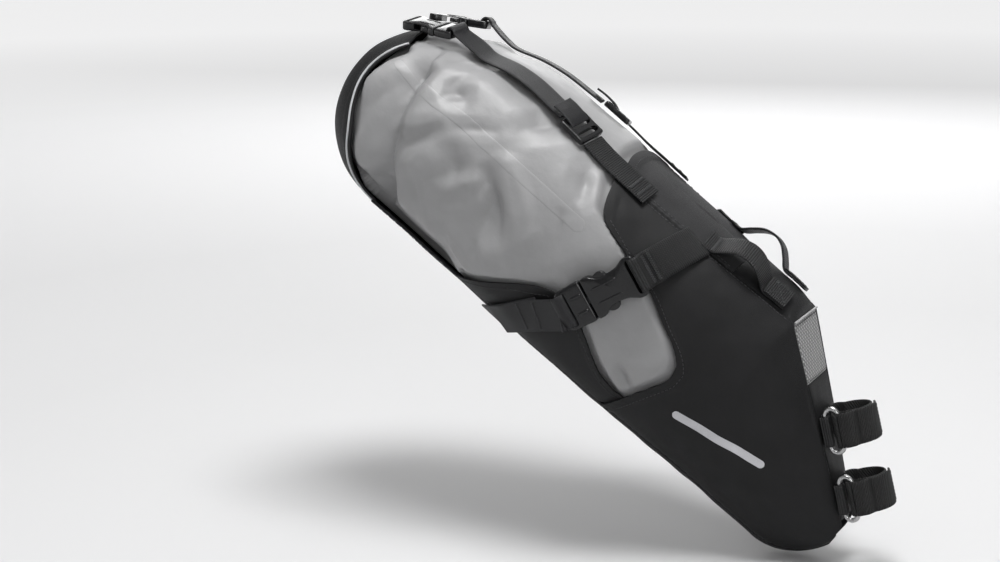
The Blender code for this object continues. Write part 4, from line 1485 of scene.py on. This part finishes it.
def rib(name, x0, x1, y, z, radius, place, scale):
    """A slim raised ridge on a moulding."""
    points = [place @ (Vector((x, y, z)) * scale * MM) for x in evenly(x0, x1, 14)]
    side, up = (place.col[k].to_3d().normalized() * MM for k in (1, 2))
    turns = evenly(0, 2 * math.pi, 13)[:-1]
    rows = []
    for i, point in enumerate(points):
        size = radius * scale * math.sqrt(max(1 - (2 * i / 13 - 1) ** 6, 0.02))
        rows.append([point + (side * math.cos(t) + up * math.sin(t) * 0.7) * size for t in turns])
    return solid_tube(name, rows, PLASTIC)


def plug(name, place, scale):
    """The plug's base with its bar slot, and the tongue between its arms."""
    base = pillow(name, mirrored(PLUG), rounded_profile(0.5, 9.5, 1.9, 0.6), place, scale, 112)
    carve(base, pillow("bar_slot", rod_slot(48, 52.5, 12.8), THROUGH, place, scale))
    return base, pillow(f"{name}_prong", mirrored(TONGUE), rounded_profile(2.8, 7.2, 0.7), place, scale)


ARM = (
    (15, 8.4), (15.2, 11.5), (16.5, 13.8), (19, 14.9), (22, 14.7), (25, 13), (28, 11.6), (33.2, 11.4),
    (33.4, 8.6), (28, 8.2), (20, 8.0),
)  # fmt: skip


def arm(name, place, scale, sign):
    shape = [(x, y * sign) for x, y in ARM]
    return pillow(name, shape, rounded_profile(2.9, 7.1, 0.8), place, scale)


SIDE_BUCKLE = ((193, 26), (219, -35))
TOP_SCALE, CLOSURE_SCALE = 0.7, 0.55


def side_buckle_place(side):
    (a0, n0), (a1, n1) = SIDE_BUCKLE
    a, n = (a0 + a1) / 2, (n0 + n1) / 2
    point, normal = on_skin(a, angle_at_n(a, n), side, 3.2)
    return frame_at(point, normal, bag(a1 - a0, 0, n1 - n0)) @ Matrix.Translation(Vector((-24, 0, 0)) * MM)


def strap_heading(side):
    return -BACK + ACROSS * side * 0.1


def top_buckle_place(side):
    point, normal = on_skin(431, angle_at_y(431, 22), side, 2.2)
    return frame_at(point, normal, strap_heading(side)) @ Matrix.Translation(Vector((-17, 0, 0)) * MM)


def ride_all(body, *pieces):
    for piece in pieces:
        place_piece(piece, body, "plastic")


def buckle(prefix, place, scale, shell_body, plug_body, plug_name):
    """A side-release buckle without its arms: its housing with two ridges, and its plug with a tongue."""
    shell = housing(f"{prefix}_shell", place, scale)
    place_piece(shell, shell_body, "plastic", f"{prefix}_female")
    ridges = [rib(f"{prefix}_ridge_{i}", 9, 29, y, 9.6, 1.1, place, scale) for i, y in enumerate((-5.5, 5.5))]
    base, prong = plug(plug_name, place, scale)
    place_piece(base, plug_body, "plastic", f"{prefix}_male")
    ride_all(shell_body, *ridges)
    ride_all(plug_body, prong)


def buckle_arms(prefix, place, scale):
    for letter, sign in (("a", 1), ("b", -1)):
        piece = arm(f"{prefix}_arm_{letter}_moulding", place, scale, sign)
        place_piece(piece, f"{prefix}_arm_{letter}", "plastic", f"{prefix}_arm_{letter}")


def side_buckle(word, side):
    prefix, place = f"side_buckle_{word}", side_buckle_place(side)
    buckle(prefix, place, 1.0, f"{prefix}_housing", "harness", f"{prefix}_plug")
    grips = [rib(f"{prefix}_grip_{i}", 37, 46, y, 9.2, 1.3, place, 1.0) for i, y in enumerate((-6, 6))]
    ride_all("harness", *grips)
    buckle_arms(prefix, place, 1.0)


def top_buckle(word, side):
    prefix, place = f"top_buckle_{word}", top_buckle_place(side)
    buckle(prefix, place, TOP_SCALE, "harness", f"{prefix}_plug", f"{prefix}_body")
    buckle_arms(prefix, place, TOP_SCALE)


ROLL_END_A, ROLL_N = 449.0, -27
RING_R = 7.0


def closure():
    """The dry bag's own small buckle, tabs and D-ring, on its rolled end."""
    place = frame_at(bag(ROLL_END_A + 0.8, -13, ROLL_N), BACK, ACROSS)
    shell = housing("closure_buckle_shell", place, CLOSURE_SCALE)
    place_piece(shell, "harness", "plastic", "closure_buckle_female")
    base, prong = plug("closure_buckle_body", place, CLOSURE_SCALE)
    place_piece(base, "closure_buckle_plug", "plastic", "closure_buckle_male")
    ride_all("closure_buckle_plug", prong)
    for word, start, end in (("right", -42, -18.2), ("left", 42, 18.6)):
        points = [bag(ROLL_END_A + 0.6, y, ROLL_N) for y in evenly(start, end, 24)]
        tab = web(f"closure_tab_{word}_webbing", points, [BACK] * 24, 12, WEBBING, 1.2)
        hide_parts(f"closure_tab_{word}")
        if word == "left":
            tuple(points[0])
            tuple(points[-1])
            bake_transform(tab)
        else:
            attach(tab, "harness")
    ring = []
    for degrees in evenly(-90, 90, 26):
        turn = math.radians(degrees)
        y, n = -33 + RING_R * math.cos(turn), ROLL_N + RING_R * math.sin(turn)
        ring.append(bag(ROLL_END_A + 3.4, y, n))
    straight = [lerp(ring[-1], ring[0], share) for share in evenly(0.0, 1.0, 14)[1:-1]]
    obj = cord_tube("closure_ring", [*ring, *straight], 1.2, PLASTIC, True)
    place_piece(obj, "harness", "plastic", "closure_d_ring")


LOCK_FRAME = (
    (-13, 6), (-12.9, 11.6), (-11.4, 12.9), (-7, 13), (0, 12.6), (7, 12.9), (9, 12.8), (10, 11.4), (10, 6),
)  # fmt: skip
THUMB_TAB = ((-24, 5.9), (-18, 6.4), (-12, 6.2), (-8, 5.6), (-4, 4.1))


def ladder_lock(word, side):
    point, normal = on_skin(LOCK_A, angle_at_y(LOCK_A, LOCK_Y), side, LAY)
    place = frame_at(point, normal, strap_heading(side))
    lock = f"ladder_lock_{word}"
    obj = pillow(f"{lock}_frame", mirrored(LOCK_FRAME), rounded_profile(0.7, 5.3, 1.1, 0.3), place, 1.0, 96)
    for name, x0, x1 in (("front", 2.2, 6.8), ("rear", -7.8, -1.2)):
        carve(obj, pillow(f"slot_{name}", rod_slot(x0, x1, 10.4), [(0, -2, 1.0), (0, 8, 1.0)], place, 1.0))
    place_piece(obj, lock, "plastic", lock)
    for i, y in enumerate((-8, -4, 0, 4, 8)):
        ride_all(lock, rib(f"{lock}_grip_{i}", -11.6, -9.2, y, 5.0, 0.8, place, 1.0))
    points = curved(in_frame(place, THUMB_TAB), 30)
    tab = web(f"thumb_tab_{word}", points, [place.col[2].to_3d()] * 30, 19, TWILL, 1.5)
    place_piece(tab, lock, "twill_strap")


for word, sign in SIDES:
    side_buckle(word, sign)
    top_buckle(word, sign)
    ladder_lock(word, sign)
closure()


# Seatpost straps

STRAP_AT = (("upper", 25.0), ("lower", -25.0))
LOOP_R, RING_WIRE = POST_R + 0.4, 1.75
RING_NEAR, RING_FAR = (-3.5, -19.4), (-13.0, -19.0)
RING_HALF = 16.0
SEWN_END = ((-FRONT + 1.6 + 0.6, 7.5), (-FRONT + 1.6 + 0.6, 11.5), (-13.0, 14.6))


def by_post(forward, y, t):
    return (-POST_BACK * forward + ACROSS * y + POST_UP * t) * MM


def arc(radius, start, end, count, middle=(0.0, 0.0)):
    turns = [math.radians(degrees) for degrees in evenly(start, end, count)]
    return [(middle[0] + radius * math.cos(turn), middle[1] + radius * math.sin(turn)) for turn in turns]


def post_web(name, flat, t, count):
    """Webbing standing along the post, through an outline of (forward, y), thickened away from the post."""
    points = curved([by_post(f, y, t) for f, y in flat], count)
    middle = flat[len(flat) // 2]
    nearest = min(range(count), key=lambda i: (points[i] - by_post(*middle, t)).length)
    normals = face_along(points, POST_UP, by_post(*middle, 0), nearest)
    return web(name, points, normals, 25, COARSE), points, normals


def post_strap(word, t):
    loop = arc(LOOP_R + 0.6, 120, -86, 17) + arc(RING_WIRE + 2.7, 90, 270, 9, RING_NEAR)
    strap, _, _ = post_web(f"seatpost_strap_{word}_webbing", [*SEWN_END, *loop], t, 260)
    place_piece(strap, "harness", "hook_strap", f"seatpost_strap_{word}")


def free_end(word, t):
    """The strap's loose end, from the ring back over the strap."""
    start = RING_NEAR[1] - RING_WIRE - 1.1
    leaving = [(RING_NEAR[0] + 0.7, start), (1.0, start + 0.3), (4.6, start + 1.9)]
    name = f"free_end_{word}"
    loose, points, normals = post_web(f"{name}_webbing", leaving + arc(LOOP_R + 3.2, -64, 25, 9), t, 120)
    place_piece(loose, name, "hook_strap", name)
    threads = bmesh.new()
    for i in (-5, -9):
        line = [points[i] + normals[i] * ON_WEB * MM + POST_UP * x * MM for x in evenly(-11, 11, 12)]
        sew(threads, line, [normals[i]] * 12, 2.6)
    finish_thread(f"{name}_stitching", threads, name, "hook_strap")


def strap_ring(word, t):
    """An oval metal ring, its long way up the post."""
    ring = []
    reach, rise = (RING_NEAR[0] - RING_FAR[0]) / 2, (RING_NEAR[1] - RING_FAR[1]) / 2
    middle = ((RING_NEAR[0] + RING_FAR[0]) / 2, (RING_NEAR[1] + RING_FAR[1]) / 2)
    for degrees in range(0, 360, 5):
        turn = math.radians(degrees)
        share, shift = math.cos(turn), (RING_HALF - reach) * math.copysign(1, math.sin(turn) + 1e-9)
        forward, y = middle[0] + reach * share, middle[1] + rise * share
        ring.append(by_post(forward, y, t + shift + reach * math.sin(turn)))
    obj = cord_tube(f"strap_ring_{word}_wire", ring, RING_WIRE, METAL, True, 16)
    place_piece(obj, "harness", "ring_metal", f"strap_ring_{word}")


def ring_tab(word, t):
    """The webbing that holds the ring to the front panel."""
    inside = RING_WIRE + 0.5
    tab = [(RING_FAR[0] - 3.2, RING_FAR[1] - inside), *arc(inside, -90, 90, 9, RING_FAR)]
    tab += [(-FRONT + 0.7, -14.6), (-FRONT + 0.6, -9.0)]
    points = curved([by_post(forward, y, t) for forward, y in tab], 120)
    normals = face_along(points, POST_UP, points[40] - by_post(*RING_FAR, t), 40)
    obj = web(f"ring_tab_{word}_webbing", points, normals, 22, WEBBING, 1.2)
    place_piece(obj, "harness", "webbing", f"ring_tab_{word}")


for word, height in STRAP_AT:
    for make in (post_strap, free_end, strap_ring, ring_tab):
        make(word, height)


STRAP_UNDER_YOKE = ((182.4, 53, 1.0), (184.5, 48, LAY), (187, 42, 1.8))
STRAP_TO_BAR = ((-13, -2.2), (-8, -2.0), (-3, -2.0))
STRAP_LOOP = (
    (-3.6, -0.2), (-3.8, 4), (-4.4, 9), (-6.2, 10.7), (-8.6, 9.6), (-10.0, 5.4), (-12.6, 1.7), (-19, -0.1),
)  # fmt: skip
TAB_LOOP = ((50.4, 2.5), (50.6, 8.6), (53.8, 10.6), (57.6, 8.4), (59.6, 4.6))
TOP_LOOP = ((50.2, 3), (50.6, 9.4), (54, 11.4), (57.6, 8.6), (61, 4.2))


def side_strap(word, side, threads):
    """Ribbed webbing from under the yoke to the housing's bar, and its loop round that bar."""
    place, body = side_buckle_place(side), f"side_buckle_{word}_housing"
    flat = [on_skin(a, angle, side, lift) for a, angle, lift in by_n(STRAP_UNDER_YOKE)]
    up = place.col[2].to_3d().normalized()
    points = curved([p for p, _ in flat] + in_frame(place, STRAP_TO_BAR), 60)
    normals = unit_curve([n for _, n in flat] + [up] * 3, 60)
    strap = web(f"side_strap_{word}_webbing", points, normals, 25, WEBBING)
    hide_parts(f"side_strap_{word}")
    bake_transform(strap)
    loop = curved(in_frame(place, STRAP_LOOP), 90)
    ups = face_along(loop, place.col[1].to_3d().normalized(), loop[45] - place @ (Vector((-6.6, 0, 5)) * MM))
    place_piece(web(f"side_strap_{word}_loop", loop, ups, 25, WEBBING, 1.5), body, "webbing")
    for i in (66, 82):
        bar_tack(threads, loop[i] + ups[i] * 1.65 * MM, ups[i], loop[i + 2] - loop[i - 2], 22, 2.6)


def side_tab(word, side, threads):
    """Smooth webbing from the lower seam to the plug's bar and back, sewn down on itself."""
    place = side_buckle_place(side)
    stops = by_n(SIDE_TAB[:5])
    points, normals = skin_line(side, stops, 80)
    tab = web(f"side_tab_{word}_webbing", points, normals, 25, TWILL)
    place_piece(tab, "harness", "webbing", f"side_tab_{word}")
    over = [on_skin(a, angle, side, lift + 1.7)[0] for a, angle, lift in stops[3:0:-1]]
    loop = curved(in_frame(place, TAB_LOOP) + over, 140)
    outward = on_skin(stops[2][0], stops[2][1], side, stops[2][2])[1]
    ups = face_along(loop, place.col[1].to_3d().normalized(), outward)
    ups = [lerp(up, outward.normalized(), smooth(70, 120, i)).normalized() for i, up in enumerate(ups)]
    place_piece(web(f"side_tab_{word}_loop", loop, ups, 24.6, TWILL, 1.4), "harness", "webbing")
    for i in (64, 88):
        bar_tack(threads, loop[i] + ups[i] * 1.55 * MM, ups[i], loop[i + 2] - loop[i - 2], 22, 2.4)
    sew(threads, loop[64:88], ups[64:88], 2.8)


def top_strap(word, side):
    """Smooth webbing from the ladder lock back to the top buckle's plug, and round the plug's bar."""
    place = top_buckle_place(side)
    found = [on_skin(a, angle, side, lift) for a, angle, lift in by_y(TOP_STRAP[1:])]
    points = curved(in_frame(place, TOP_LOOP, TOP_SCALE) + [p for p, _ in found], 150)
    normals = face_along(points, place.col[1].to_3d().normalized(), found[2][1])
    widths = [lerp(17.4, 20.0, smooth(18, 40, i)) for i in range(150)]
    strap = web(f"top_strap_{word}_webbing", points, normals, widths, TWILL)
    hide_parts(f"top_strap_{word}")
    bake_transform(strap)


for word, sign in SIDES:
    thread = bmesh.new()
    side_strap(word, sign, thread)
    finish_thread(f"side_strap_stitching_{word}", thread, f"side_buckle_{word}_housing", "webbing")
    thread = bmesh.new()
    side_tab(word, sign, thread)
    finish_thread(f"side_tab_stitching_{word}", thread, "harness", "webbing")
    top_strap(word, sign)
